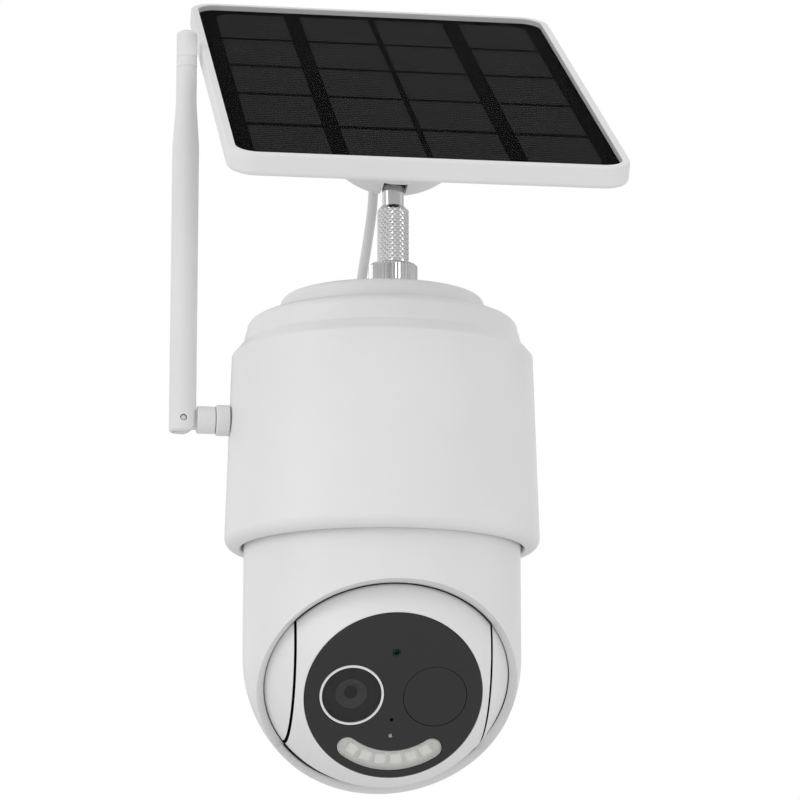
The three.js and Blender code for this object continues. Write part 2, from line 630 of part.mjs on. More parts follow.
// fixed side covers, tilt axles and the fixed tilt gear
const SIDE_IN = HEAD_HALF_W + SIDE_GAP;
const GEAR_BAY_R = 21.5;
const GEAR_BAY_D = 6.5;
const TILT_CENTRES = (TILT_MODULE * (TILT_TEETH + TILT_PINION_TEETH)) / 2;
const axleEnd = HEAD_HALF_W - WALL - 3;
for (const [name, side] of [['left', -1], ['right', 1]]) {
  let cover = ball(BALL_R).intersect(box(SIDE_IN, BALL_R + 1, -BALL_R, BALL_R, -BALL_R, BALL_R));
  cover = cover.subtract(along('x', rod(AXLE_R + GAP, SIDE_IN - 1, SIDE_IN + 9.5)));
  if (side < 0) {
    cover = cover.subtract(along('x', rod(GEAR_BAY_R, SIDE_IN - 1, SIDE_IN + GEAR_BAY_D)));
  }
  const flip = [0, 0, side < 0 ? 180 : 0];
  piece(`side_cover_${name}`, cover.rotate(flip).translate([0, 0, BALL_Z]), 'white', body);
  const axle = along('x', rod(AXLE_R, axleEnd, SIDE_IN + 9));
  piece(`tilt_axle_${name}`, axle.rotate(flip).translate([0, 0, BALL_Z]), 'steel', body);
}
const tiltGearX = SIDE_IN + GAP;
const fixedGear = along('x', gear(TILT_MODULE, TILT_TEETH, tiltGearX, tiltGearX + GEAR_T - 1, 0, false)
  .subtract(rod(AXLE_R + GAP, tiltGearX - 1, tiltGearX + GEAR_T)));

// Bodies on the tilt drive are modelled towards +X and turned to the left side.
function onTiltDrive(part) {
  return part.rotate([0, 0, 180]);
}
piece('tilt_gear', onTiltDrive(fixedGear), 'gear', head);

// ---------- head ----------
function headBlock(radius, halfW, front, back) {
  return ball(radius).intersect(box(-halfW, halfW, -front, back, -radius, radius));
}
const SEAT_R = PLATE_R + GAP;
const rimCut = FACE_FLAT - 0.5;
const headHollow = headBlock(BALL_R - WALL, HEAD_HALF_W - WALL, FACE_FLAT - PLATE_T - 2.5, HEAD_BACK - WALL);
let headShell = headBlock(BALL_R, HEAD_HALF_W, rimCut, HEAD_BACK).subtract(headHollow);
headShell = headShell.subtract(along('y', rod(SEAT_R, FACE_FLAT - PLATE_T - GAP, FACE_FLAT + 2, COARSE)));
headShell = headShell.subtract(along('y', rod(SEAT_R - 3, FACE_FLAT - 12, FACE_FLAT + 2, COARSE)));
headShell = headShell.subtract(along('x', rod(AXLE_R + GAP, -BALL_R, BALL_R)));
const motorAxis = [0, 0, TILT_CENTRES];
headShell = headShell.subtract(along('x', rod(2.6, -BALL_R, -20)).translate(motorAxis));
const frontHalf = box(-BALL_R, BALL_R, -BALL_R, HEAD_SEAM, -BALL_R, BALL_R);
const rearHalf = box(-BALL_R, BALL_R, HEAD_SEAM + GAP, BALL_R, -BALL_R, BALL_R);
piece('head_front_shell', headShell.intersect(frontHalf), 'white', head);
piece('head_rear_shell', headShell.intersect(rearHalf), 'white', head);

// lamp window: an arc-shaped slot with round ends, in the plane of the face
function smile(width, z0, z1) {
  const inner = SMILE_R - width / 2;
  const outer = SMILE_R + width / 2;
  const a0 = rad(-90 - SMILE_HALF);
  const a1 = rad(-90 + SMILE_HALF);
  const shape = new THREE.Shape();
  const half = width / 2;
  shape.absarc(0, 0, outer, a0, a1, false);
  shape.absarc(SMILE_R * Math.cos(a1), SMILE_R * Math.sin(a1), half, a1, a1 + Math.PI, false);
  shape.absarc(0, 0, inner, a1, a0, true);
  shape.absarc(SMILE_R * Math.cos(a0), SMILE_R * Math.sin(a0), half, a0 + Math.PI, a0 + 2 * Math.PI, false);
  return extruded(shape, z0, z1, 8);
}

// A body on the face is modelled lying flat, x right and y up, z out of the face.
function onFace(part) {
  return part.rotate([90, 0, 0]);
}
const plateIn = FACE_FLAT - PLATE_T;
let facePlate = rod(PLATE_R, plateIn, FACE_FLAT, COARSE)
  .subtract(rod(LENS_RING_R + GAP, plateIn - 1, FACE_FLAT + 1, FINE, LENS_RING_R + GAP, -LENS_X))
  .subtract(rod(MOTION_R + GAP, plateIn - 1, FACE_FLAT + 1, FINE, MOTION_R + GAP, LENS_X))
  .subtract(smile(SMILE_W + 2 * GAP, plateIn - 1, FACE_FLAT + 1))
  .subtract(rod(DAYLIGHT_R * 0.6, plateIn - 1, FACE_FLAT + 0.01, 16, DAYLIGHT_R * 0.6, 0, DAYLIGHT_Z))
  .subtract(rod(DAYLIGHT_R * 0.6, FACE_FLAT - 0.8, FACE_FLAT + 0.01, 16, DAYLIGHT_R, 0, DAYLIGHT_Z))
  .subtract(rod(MIC_R, plateIn - 1, FACE_FLAT + 1, 12, MIC_R, 0, MIC_Z))
  .subtract(rod(STATUS_R + GAP, plateIn - 1, FACE_FLAT + 1, 12, STATUS_R + GAP, 0, STATUS_Z));
piece('face_plate', onFace(facePlate), 'dark', head);
const ringIn = LENS_RING_R - LENS_RING_W;
const lensRing = ring(LENS_RING_R, ringIn, plateIn, FACE_FLAT, FINE, -LENS_X);
piece('lens_ring', onFace(lensRing), 'white', head);
const COVER_GLASS_T = 1.2;
const coverGlass = rod(ringIn - GAP, FACE_FLAT - COVER_GLASS_T, FACE_FLAT - 0.2);
piece('lens_cover', onFace(coverGlass.translate([-LENS_X, 0, 0])), 'black', head);
const LENS_GLASS_R = 2.8;
const LENS_SINK = 4.5; // lens glass below the face
const lensBack = FACE_FLAT - 18;
const lensFront = FACE_FLAT - COVER_GLASS_T - GAP;
const barrel = rod(LENS_R, lensBack, lensFront)
  .subtract(rod(LENS_GLASS_R + GAP, FACE_FLAT - LENS_SINK, lensFront + 0.1, FINE, LENS_R - 0.8))
  .translate([-LENS_X, 0, 0]);
piece('lens_barrel', onFace(barrel), 'lens', head);
const domePoints = [
  [0, 0],
  [LENS_GLASS_R, 0],
  [LENS_GLASS_R, 1.2],
  [LENS_GLASS_R * 0.75, 1.9],
  [LENS_GLASS_R * 0.4, 2.2],
  [0, 2.3],
];
const lensDome = turned(domePoints, FINE);
piece('lens_glass', onFace(lensDome.translate([-LENS_X, 0, FACE_FLAT - LENS_SINK + GAP])), 'black', head);
const motionLens = rod(MOTION_R, plateIn, FACE_FLAT - 0.2).translate([LENS_X, 0, 0]);
piece('motion_window', onFace(motionLens), 'dark', head);
const SENSOR_R = 4.6;
const faceBoardZ = plateIn - 7;
piece('lamp_window', onFace(smile(SMILE_W, plateIn, FACE_FLAT - 0.1)), 'lamp', head);
const statusFlange = rod(STATUS_R + 0.8, plateIn - 3, plateIn - 1, 12);
const statusLight = rod(STATUS_R, plateIn - 3, FACE_FLAT - 0.1, 12).add(statusFlange);
piece('status_light_pipe', onFace(statusLight.translate([0, STATUS_Z, 0])), 'lamp', head);

// face board: one board behind the plate with the lamps, the light sensor and the microphone on it
const FACE_BOARD_R = SEAT_R - 3 - RUN;
let faceBoard = rod(FACE_BOARD_R, faceBoardZ - BOARD_T, faceBoardZ, COARSE)
  .subtract(rod(LENS_R + 1, faceBoardZ - 4, faceBoardZ + 2, FINE, LENS_R + 1, -LENS_X));
const LAMP_COUNT = 6;
for (let i = 0; i < LAMP_COUNT; i += 1) {
  const a = rad(-90 - SMILE_HALF * 0.9 + (1.8 * SMILE_HALF * i) / (LAMP_COUNT - 1));
  const lamp = box(-1.8, 1.8, -1.8, 1.8, faceBoardZ - 0.5, faceBoardZ + 1);
  const turnedLamp = lamp.rotate([0, 0, (a * 180) / Math.PI]);
  faceBoard = faceBoard.add(turnedLamp.translate([SMILE_R * Math.cos(a), SMILE_R * Math.sin(a), 0]));
}
faceBoard = faceBoard
  .add(rod(1.6, faceBoardZ - 0.5, plateIn - 1, 12, 1.6, 0, DAYLIGHT_Z))
  .add(rod(2, faceBoardZ - 0.5, plateIn - 1, 12, 2, 0, MIC_Z))
  .add(rod(SENSOR_R, faceBoardZ - 0.5, plateIn - 1.5, FINE, SENSOR_R, LENS_X));
piece('face_board', onFace(faceBoard), 'board', head);
const sensorZ = lensBack - GAP;
const sensorBoard = box(-LENS_X - 15, -LENS_X + 15, -12, 12, sensorZ - BOARD_T, sensorZ);
piece('image_sensor_board', onFace(sensorBoard), 'board', head);

// tilt motor inside the head and its pinion, which rolls round the fixed tilt gear
const TILT_MOTOR_R = 9;
const tiltMotorOut = HEAD_HALF_W - WALL - GAP;
const tiltShaft = tiltGearX + GEAR_T - 1;
const tiltMotorShaft = rod(1.2, tiltMotorOut - 1, tiltShaft, 16);
const tiltMotorBody = rod(TILT_MOTOR_R, tiltMotorOut - 13, tiltMotorOut).add(tiltMotorShaft);
const tiltMotor = along('x', tiltMotorBody).translate(motorAxis);
piece('tilt_motor', onTiltDrive(tiltMotor), 'steel', head);
const tiltPinion = gear(TILT_MODULE, TILT_PINION_TEETH, tiltGearX, tiltShaft, 0, true)
  .subtract(rod(1.2 + GAP, tiltGearX - 1, tiltShaft + 1));
piece('tilt_pinion', onTiltDrive(along('x', tiltPinion).translate(motorAxis)), 'brass', head);

// ---------- antenna ----------
const antenna = new THREE.Group(); // hinge pin of the antenna
const ANT_X = -skirtRadius(ANT_Z) - ANT_OUT;
antenna.position.set(ANT_X, 0, ANT_Z);
body.add(antenna);
const skirtX = ANT_OUT; // the skirt's surface, from the pin
const nutOut = skirtX - GAP - NUT_L;
const stubIn = ROD_R + GAP;
const socket = along('x', rod(NUT_R, nutOut, skirtX - GAP, 12).add(rod(SMA_R, skirtX - 1, skirtX + WALL + 5))
  .subtract(rod(2, nutOut - 1, nutOut + 3)));
piece('antenna_socket', socket, 'soft_white', antenna);
const backNut = rod(5.5, skirtX + WALL + 0.8, skirtX + WALL + 3.3, 6).subtract(rod(SMA_R + GAP, 0, 60));
piece('antenna_nut', along('x', backNut), 'brass', antenna);
const stub = along('x', rod(STUB_R, stubIn, nutOut - GAP).add(rod(2 - GAP, nutOut - 1, nutOut + 2)))
  .add(along('y', rod(TONGUE_R, -TONGUE_T / 2, TONGUE_T / 2)))
  .add(box(0, stubIn + 1, -TONGUE_T / 2, TONGUE_T / 2, -TONGUE_R, TONGUE_R))
  .subtract(along('y', rod(1.2 + GAP, -TONGUE_T, TONGUE_T, 16)));
piece('antenna_knuckle', stub, 'soft_white', antenna);
const rodPoints = [
  [0, -ROD_BELOW],
  [ROD_R - 0.5, -ROD_BELOW],
  [ROD_R, -ROD_BELOW + 0.5],
  [ROD_R, ROD_L * 0.68],
  [ROD_TIP_R, ROD_L * 0.78],
  [ROD_TIP_R, ROD_L - ROD_BELOW - 3],
  [ROD_TIP_R * 0.8, ROD_L - ROD_BELOW - 1],
  [ROD_TIP_R * 0.4, ROD_L - ROD_BELOW - 0.15],
  [0, ROD_L - ROD_BELOW],
];
const swingClear = along('y', rod(ROD_BELOW, -10, 10, COARSE));
const swingCorner = box(0, 20, -10, 10, -20, 0).subtract(swingClear);
const antennaRod = turned(rodPoints, FINE)
  .subtract(box(-TONGUE_R - GAP, 20, -TONGUE_T / 2 - GAP, TONGUE_T / 2 + GAP, -20, TONGUE_R + 1.5))
  .subtract(swingCorner)
  .subtract(along('y', rod(1.2 + GAP, -10, 10, 16)));
piece('antenna_rod', antennaRod, 'soft_white', antenna);
piece('antenna_pin', along('y', rod(1.2, -ROD_R + 1.2, ROD_R - 1.2, 16)), 'steel', antenna);

// ---------- post ----------
const post = new THREE.Group(); // panel pivot, on the post's axis
post.position.set(POST_X, POST_Y, CAP_TOP_Z + PIVOT_H);
body.add(post);
const postFoot = -PIVOT_H + GAP;
const ringTop = postFoot + RING_H;
const sleeveZ = ringTop + GAP;
const EYE_R = 6.5;
const EYE_T = 8;
const PIN_R = 2.5;
const shankZ = -EYE_R - 2 * RUN; // the stem narrows to a flat shank between the panel's ears
const stem = rod(STEM_R, postFoot + 1, shankZ)
  .add(box(-EYE_T / 2, EYE_T / 2, -EYE_T / 2, EYE_T / 2, shankZ - 1, 0))
  .add(rod(STUD_R, postFoot - STUD_L, postFoot + 2))
  .add(along('x', rod(EYE_R, -EYE_T / 2, EYE_T / 2)))
  .subtract(along('x', rod(PIN_R + GAP, -10, 10)));
piece('post_stem', stem, 'nickel', post);
const sleeve = turned([
  [STEM_R + GAP, sleeveZ],
  [SLEEVE_R, sleeveZ],
  [SLEEVE_R, sleeveZ + SLEEVE_L - 1.6],
  [SLEEVE_R - 1.4, sleeveZ + SLEEVE_L],
  [STEM_R + GAP, sleeveZ + SLEEVE_L],
  [STEM_R + GAP, sleeveZ],
], FINE);
piece('post_sleeve', sleeve, 'nickel', post);
const ringShape = new THREE.Shape();
const RING_TEETH = 36;
for (let i = 0; i < RING_TEETH * 2; i += 1) {
  const a = (Math.PI * i) / RING_TEETH;
  const r = i % 2 ? RING_R : RING_R - 0.7;
  ringShape[i ? 'lineTo' : 'moveTo'](r * Math.cos(a), r * Math.sin(a));
}
const lockRing = extruded(ringShape, postFoot, ringTop).subtract(rod(STEM_R + GAP, postFoot - 1, ringTop + 1));
piece('lock_ring', lockRing, 'nickel', post);

// ---------- solar panel ----------
const panel = new THREE.Group(); // same pivot, glass towards its own +Z
panel.position.copy(post.position);
panel.rotation.x = rad(PANEL_TILT);
body.add(panel);
const frameTop = PANEL_RISE + 0.2;
const frameLow = frameTop - PANEL_T;
const frameW = GLASS_W + 2 * BEZEL;
const frameD = GLASS_D + 2 * BEZEL;
const frameR = GLASS_CORNER_R + BEZEL;
const glassLow = PANEL_RISE - GLASS_T;
const sheetLow = glassLow - GAP - CELLSHEET_T;
const LOW_ROUND = 2.5; // chamfer round the frame's lower edge
function centred(part) {
  return part.translate([PANEL_SHIFT_X, 0, 0]);
}
const stepLow = frameLow + LOW_ROUND * 0.4;
const frameBody = slab(frameW, frameD, frameR, frameLow + LOW_ROUND, frameTop)
  .add(slab(frameW - LOW_ROUND, frameD - LOW_ROUND, frameR - LOW_ROUND / 2, stepLow, frameTop - 1))
  .add(slab(frameW - 2 * LOW_ROUND, frameD - 2 * LOW_ROUND, frameR - LOW_ROUND, frameLow, frameTop - 1));
const seatW = GLASS_W + 2 * GAP;
const seatD = GLASS_D + 2 * GAP;
const glassSeat = slab(seatW, seatD, GLASS_CORNER_R + GAP, sheetLow - GAP, frameTop + 1);
const holeW = GLASS_W - 2 * LEDGE_W;
const holeD = GLASS_D - 2 * LEDGE_W;
const ledgeHole = slab(holeW, holeD, GLASS_CORNER_R - LEDGE_W, frameLow - 1, frameTop + 1);
piece('panel_frame', centred(frameBody.subtract(glassSeat).subtract(ledgeHole)), 'white', panel);
piece('panel_glass', centred(slab(GLASS_W, GLASS_D, GLASS_CORNER_R, glassLow, PANEL_RISE)), 'black', panel);
const cellSheet = slab(GLASS_W, GLASS_D, GLASS_CORNER_R, sheetLow, sheetLow + CELLSHEET_T);
piece('cell_sheet', centred(cellSheet), 'panel', panel);
const backW = holeW - 2 * GAP;
const backD = holeD - 2 * GAP;
const YOKE_T = 3;
const earX = EYE_T / 2 + RUN;
let back = centred(slab(backW, backD, GLASS_CORNER_R - LEDGE_W - GAP, frameLow, frameLow + BACK_T));
for (const side of [-1, 1]) {
  const ear = box(earX, earX + YOKE_T, -EYE_R, EYE_R, 0, frameLow + 1).add(
    along('x', rod(EYE_R, earX, earX + YOKE_T)),
  );
  back = back.add(ear.rotate([0, 0, side < 0 ? 180 : 0]));
}
back = back.subtract(along('x', rod(PIN_R + GAP, -20, 20)));
back = back.subtract(box(-earX, earX, -EYE_R - 1, EYE_R + 1, frameLow - 1, frameLow + BACK_T + 1));
piece('panel_back', back, 'white', panel);
const pinHalf = earX + YOKE_T + 1;
const tiltPin = along('x', rod(PIN_R, -pinHalf, pinHalf + 1).add(rod(PIN_R + 1.8, pinHalf, pinHalf + 2.4)));
piece('tilt_pin', tiltPin, 'steel', panel);

// round hub over the hinge, with a slot for the post's travel and a hole for the cable
const hubTop = frameLow - GAP;
const hubRoom = box(-HUB_R, HUB_R, -HUB_R, HUB_R, -HUB_R - 1, hubTop);
let hub = ball(HUB_R).subtract(ball(HUB_R - WALL)).intersect(hubRoom);
hub = centred(hub);
const slotHalf = STEM_R + RUN;
const stemAngle = (Math.asin(slotHalf / HUB_R) * 180) / Math.PI;
const slotFrom = PANEL_TILT - PANEL_UP - 1;
const slotTo = PANEL_TILT + PANEL_DOWN + 1;
const slotShape = new THREE.Shape();
slotShape.moveTo(0, 0);
for (const a of [slotFrom - stemAngle, (slotFrom + slotTo) / 2, slotTo + stemAngle]) {
  slotShape.lineTo(-(HUB_R + 9) * Math.sin(rad(a)), -(HUB_R + 9) * Math.cos(rad(a)));
}
const slot = extruded(slotShape, -slotHalf, slotHalf).rotate([90, 0, 90]);
hub = hub.subtract(slot);
const CABLE_X = -4;
const CABLE_Y = 15;
hub = hub.subtract(rod(CABLE_R + GAP, -HUB_R, -HUB_R + 16, 16, CABLE_R + GAP, CABLE_X, CABLE_Y));
piece('panel_hub', hub, 'white', panel);

// cable from the panel's hub down to the gland, in the post's frame
const tiltSin = Math.sin(rad(PANEL_TILT));
const tiltCos = Math.cos(rad(PANEL_TILT));
function fromPanel(x, y, z) {
  return new THREE.Vector3(x, y * tiltCos - z * tiltSin, y * tiltSin + z * tiltCos);
}
const exitZ = -Math.sqrt(HUB_R ** 2 - CABLE_X ** 2 - CABLE_Y ** 2);
const glandX = GLAND_X - POST_X;
const glandY = GLAND_Y - POST_Y;
const cableRoute = new THREE.CatmullRomCurve3([
  fromPanel(CABLE_X, CABLE_Y, exitZ + 7),
  fromPanel(CABLE_X, CABLE_Y, exitZ + 2),
  fromPanel(CABLE_X, CABLE_Y, exitZ - 3),
  new THREE.Vector3(-4.6, 33.6, -36),
  new THREE.Vector3(-6.4, 34.2, -50),
  new THREE.Vector3(-8.8, 34.8, -66),
  new THREE.Vector3(glandX, glandY, -PIVOT_H + 4),
  new THREE.Vector3(glandX, glandY, -PIVOT_H - 3),
]);
const CABLE_SIDES = 8;
const cableSection = new THREE.Shape();
for (let i = 0; i < CABLE_SIDES; i += 1) {
  const a = (2 * Math.PI * i) / CABLE_SIDES;
  cableSection[i ? 'lineTo' : 'moveTo'](CABLE_R * Math.cos(a), CABLE_R * Math.sin(a));
}
const cableOptions = { steps: 18, extrudePath: cableRoute, bevelEnabled: false };
const cableTube = new THREE.ExtrudeGeometry(cableSection, cableOptions);
piece('panel_cable', solid(cableTube), 'soft_white', post);

export default camera;
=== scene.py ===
"""Solar-powered pan and tilt security camera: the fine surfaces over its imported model.

Pieces are modelled in millimetres round a convenient local origin, and placed in the row frame in
metres: +Z up, +Y into the wall, origin at the middle of the wall bracket's back face.
"""

import json
import logging
import math
from dataclasses import dataclass
from enum import Enum
from typing import Callable

import bpy
from mathutils import Matrix, Vector

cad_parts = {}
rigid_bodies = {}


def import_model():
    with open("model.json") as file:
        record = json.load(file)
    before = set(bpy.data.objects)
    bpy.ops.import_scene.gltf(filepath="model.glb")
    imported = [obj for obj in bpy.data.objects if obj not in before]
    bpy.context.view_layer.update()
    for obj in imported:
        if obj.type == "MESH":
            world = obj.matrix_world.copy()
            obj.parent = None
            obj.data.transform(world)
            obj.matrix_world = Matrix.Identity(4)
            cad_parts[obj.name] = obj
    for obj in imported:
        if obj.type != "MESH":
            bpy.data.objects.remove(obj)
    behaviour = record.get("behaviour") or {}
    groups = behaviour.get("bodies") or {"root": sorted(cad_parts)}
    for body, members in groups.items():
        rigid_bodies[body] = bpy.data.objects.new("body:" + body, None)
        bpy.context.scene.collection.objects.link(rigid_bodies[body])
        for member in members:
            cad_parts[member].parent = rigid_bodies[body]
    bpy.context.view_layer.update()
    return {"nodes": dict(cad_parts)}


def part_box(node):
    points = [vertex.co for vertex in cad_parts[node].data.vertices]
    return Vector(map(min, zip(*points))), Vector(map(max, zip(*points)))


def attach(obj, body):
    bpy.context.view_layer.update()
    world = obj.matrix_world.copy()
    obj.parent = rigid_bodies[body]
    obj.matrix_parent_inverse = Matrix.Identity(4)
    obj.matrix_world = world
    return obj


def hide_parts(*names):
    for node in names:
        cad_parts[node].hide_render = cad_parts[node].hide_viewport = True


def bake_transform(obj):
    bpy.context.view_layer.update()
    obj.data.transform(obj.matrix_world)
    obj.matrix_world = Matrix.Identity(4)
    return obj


LOG = logging.getLogger("scene")
MM = 0.001
GAP = 0.3  # clearance between pieces that seat on each other
FINE = 128  # sides of the large turned pieces
MEDIUM = 64  # sides of the small ones

Points = list[tuple[float, float]]
Node = bpy.types.Node
Tree = bpy.types.NodeTree


class Side(Enum):
    """The camera's own sides, as seen from in front of it."""

    LEFT = -1
    RIGHT = 1


# ---------- modelling helpers, in millimetres ----------
def activate(obj: bpy.types.Object) -> None:
    """Makes obj the only selected object and the active one.

    Args:
        obj: The object to work on.
    """
    bpy.ops.object.select_all(action="DESELECT")
    obj.select_set(True)
    bpy.context.view_layer.objects.active = obj


def edit(obj: bpy.types.Object) -> None:
    """Opens obj in edit mode with everything selected.

    Args:
        obj: The mesh to edit.
    """
    activate(obj)
    bpy.ops.object.mode_set(mode="EDIT")
    bpy.ops.mesh.select_all(action="SELECT")


def close_edit(threshold: float = 1e-4) -> None:
    """Merges doubles, turns the faces outward and leaves edit mode.

    Args:
        threshold: Distance under which two points become one.
    """
    bpy.ops.mesh.select_all(action="SELECT")
    bpy.ops.mesh.remove_doubles(threshold=threshold)
    bpy.ops.mesh.normals_make_consistent(inside=False)
    bpy.ops.object.mode_set(mode="OBJECT")


def bake(obj: bpy.types.Object, matrix: Matrix) -> bpy.types.Object:
    """Moves obj by a matrix and keeps the place in its mesh.

    Args:
        obj: The object to place.
        matrix: The move, turn and scale.

    Returns:
        The same object, at the origin and unscaled.
    """
    activate(obj)
    obj.matrix_world = matrix
    bpy.ops.object.transform_apply(location=True, rotation=True, scale=True)
    return obj


def traced(name: str, points: list[tuple[float, float, float]]) -> bpy.types.Object:
    """Draws a chain of edges by extruding one point, and stays in edit mode.

    Args:
        name: The new object's name.
        points: The chain's points.

    Returns:
        The new object.
    """
    bpy.ops.object.select_all(action="DESELECT")
    bpy.ops.mesh.primitive_plane_add(size=1)
    obj = bpy.context.active_object
    obj.name = name
    edit(obj)
    bpy.ops.mesh.merge(type="CENTER")
    bpy.ops.transform.translate(value=points[0])
    for before, after in zip(points, points[1:]):
        step = tuple(b - a for a, b in zip(before, after))
        bpy.ops.mesh.extrude_region_move(TRANSFORM_OT_translate={"value": step})
    return obj


def turned(name: str, profile: Points, sides: int = FINE) -> bpy.types.Object:
    """Spins a profile of (radius, height) points about Z.

    Args:
        name: The new object's name.
        profile: Starts and ends on the axis, or closes on itself.
        sides: Steps of the full turn.

    Returns:
        A closed turned piece.
    """
    obj = traced(name, [(r, 0.0, z) for r, z in profile])
    bpy.ops.mesh.select_all(action="SELECT")
    bpy.ops.mesh.spin(steps=sides, angle=2 * math.pi, center=(0, 0, 0), axis=(0, 0, 1))
    close_edit()
    return obj


def prism(name: str, outline: Points, low: float, high: float) -> bpy.types.Object:
    """Extrudes a flat outline along Z.

    Args:
        name: The new object's name.
        outline: The outline's points, without the first one again at the end.
        low: Height of its underside.
        high: Height of its top.

    Returns:
        A closed solid.
    """
    obj = traced(name, [(x, y, low) for x, y in [*outline, outline[0]]])
    bpy.ops.mesh.select_all(action="SELECT")
    bpy.ops.mesh.remove_doubles(threshold=1e-4)
    bpy.ops.mesh.edge_face_add()
    bpy.ops.mesh.extrude_region_move(TRANSFORM_OT_translate={"value": (0, 0, high - low)})
    close_edit()
    return obj


def block(name: str, low: tuple[float, float, float], high: tuple[float, float, float]) -> bpy.types.Object:
    """Makes a plain box between two corners, as stock for cutting and rounding.

    Args:
        name: The new object's name.
        low: Lowest corner.
        high: Highest corner.

    Returns:
        The box, with its place in its mesh.
    """
    middle = [(a + b) / 2 for a, b in zip(low, high)]
    size = [b - a for a, b in zip(low, high)]
    bpy.ops.object.select_all(action="DESELECT")
    bpy.ops.mesh.primitive_cube_add(size=1, location=middle, scale=size)
    obj = bpy.context.active_object
    obj.name = name
    bpy.ops.object.transform_apply(location=True, rotation=True, scale=True)
    return obj


def select_edges(obj: bpy.types.Object, wanted: Callable[[Vector, Vector], bool]) -> None:
    """Opens obj in edit mode with the edges selected that pass a test.

    Args:
        obj: The mesh to edit.
        wanted: Says yes or no to an edge from its two ends.
    """
    activate(obj)
    bpy.context.tool_settings.mesh_select_mode = (False, True, False)
    mesh = obj.data
    for group in (mesh.vertices, mesh.edges, mesh.polygons):
        for element in group:
            element.select = False
    for e in mesh.edges:
        e.select = wanted(mesh.vertices[e.vertices[0]].co, mesh.vertices[e.vertices[1]].co)
    bpy.ops.object.mode_set(mode="EDIT")


def round_uprights(obj: bpy.types.Object, radius: float, segments: int = 12) -> bpy.types.Object:
    """Rounds the edges of a box that run along Z.

    Args:
        obj: The box.
        radius: Radius of the corners.
        segments: Facets of each corner.

    Returns:
        The same object.
    """
    select_edges(obj, lambda a, b: (a - b).xy.length < 1e-4)
    bpy.ops.mesh.bevel(offset=radius, segments=segments, affect="EDGES")
    bpy.context.tool_settings.mesh_select_mode = (True, False, False)
    close_edit()
    return obj


def slab(name: str, width: float, depth: float, corner: float, low: float, high: float) -> bpy.types.Object:
    """Makes a plate with round corners, centred on Z.

    Args:
        name: The new object's name.
        width: Size along X.
        depth: Size along Y.
        corner: Radius of the corners.
        low: Height of its underside.
        high: Height of its top.

    Returns:
        The plate.
    """
    plate = block(name, (-width / 2, -depth / 2, low), (width / 2, depth / 2, high))
    return round_uprights(plate, corner)


def cylinder(
    name: str, radius: float, low: float, high: float, chamfer: float = 0.0, sides: int = MEDIUM
) -> bpy.types.Object:
    """Turns a plain disc or rod, with its two rims broken if a chamfer is given.

    Args:
        name: The new object's name.
        radius: Its radius.
        low: Height of its foot.
        high: Height of its top.
        chamfer: Size of the broken rims.
        sides: Steps of the full turn.

    Returns:
        The closed rod.
    """
    rim = [(radius, low), (radius, high)]
    if chamfer:
        rim = [
            (radius - chamfer, low),
            (radius, low + chamfer),
            (radius, high - chamfer),
            (radius - chamfer, high),
        ]
    return turned(name, [(0, low), *rim, (0, high)], sides)


def tube(
    name: str,
    outer: float,
    inner: float,
    low: float,
    high: float,
    chamfer: float = 0.2,
    sides: int = MEDIUM,
) -> bpy.types.Object:
    """Turns a ring with its outer rims broken.

    Args:
        name: The new object's name.
        outer: Outer radius.
        inner: Bore radius.
        low: Height of its foot.
        high: Height of its top.
        chamfer: Size of the broken rims.
        sides: Steps of the full turn.

    Returns:
        The closed ring.
    """
    profile = [
        (inner, low),
        (outer - chamfer, low),
        (outer, low + chamfer),
        (outer, high - chamfer),
        (outer - chamfer, high),
        (inner, high),
        (inner, low),
    ]
    return turned(name, profile, sides)


def combine(
    obj: bpy.types.Object, tool: bpy.types.Object, operation: str = "DIFFERENCE"
) -> bpy.types.Object:
    """Cuts obj with a tool, or joins or crosses them, and removes the tool.

    Args:
        obj: The piece.
        tool: The closed mesh to combine it with.
        operation: DIFFERENCE, UNION or INTERSECT.

    Returns:
        The same piece.
    """
    activate(obj)
    modifier = obj.modifiers.new("combine", "BOOLEAN")
    modifier.operation = operation
    modifier.solver = "EXACT"
    modifier.object = tool
    bpy.ops.object.modifier_apply(modifier=modifier.name)
    mesh = tool.data
    bpy.data.objects.remove(tool)
    bpy.data.meshes.remove(mesh)
    return obj


def soften(obj: bpy.types.Object, width: float, segments: int = 2, angle: float = 40.0) -> bpy.types.Object:
    """Rounds every edge sharper than an angle.

    Args:
        obj: The piece.
        width: Size of the rounding.
        segments: Facets across it.
        angle: Smallest fold in degrees that is rounded.

    Returns:
        The same piece.
    """
    activate(obj)
    modifier = obj.modifiers.new("soften", "BEVEL")
    modifier.width = width
    modifier.segments = segments
    modifier.limit_method = "ANGLE"
    modifier.angle_limit = math.radians(angle)
    modifier.use_clamp_overlap = True
    bpy.ops.object.modifier_apply(modifier=modifier.name)
    return obj


def smooth(obj: bpy.types.Object, angle: float = 32.0) -> bpy.types.Object:
    """Shades obj smooth up to an angle, with the large faces leading.

    Args:
        obj: The piece.
        angle: Folds sharper than this stay crisp, in degrees.

    Returns:
        The same piece.
    """
    activate(obj)
    bpy.ops.object.shade_smooth_by_angle(angle=math.radians(angle))
    modifier = obj.modifiers.new("weights", "WEIGHTED_NORMAL")
    modifier.keep_sharp = True
    bpy.ops.object.modifier_apply(modifier=modifier.name)
    return obj


def sphere(name: str, radius: float) -> bpy.types.Object:
    """Makes a fine ball as stock for bisecting.

    Args:
        name: The new object's name.
        radius: Its radius.

    Returns:
        The ball.
    """
    bpy.ops.object.select_all(action="DESELECT")
    bpy.ops.mesh.primitive_uv_sphere_add(segments=160, ring_count=80, radius=radius)
    obj = bpy.context.active_object
    obj.name = name
    return obj


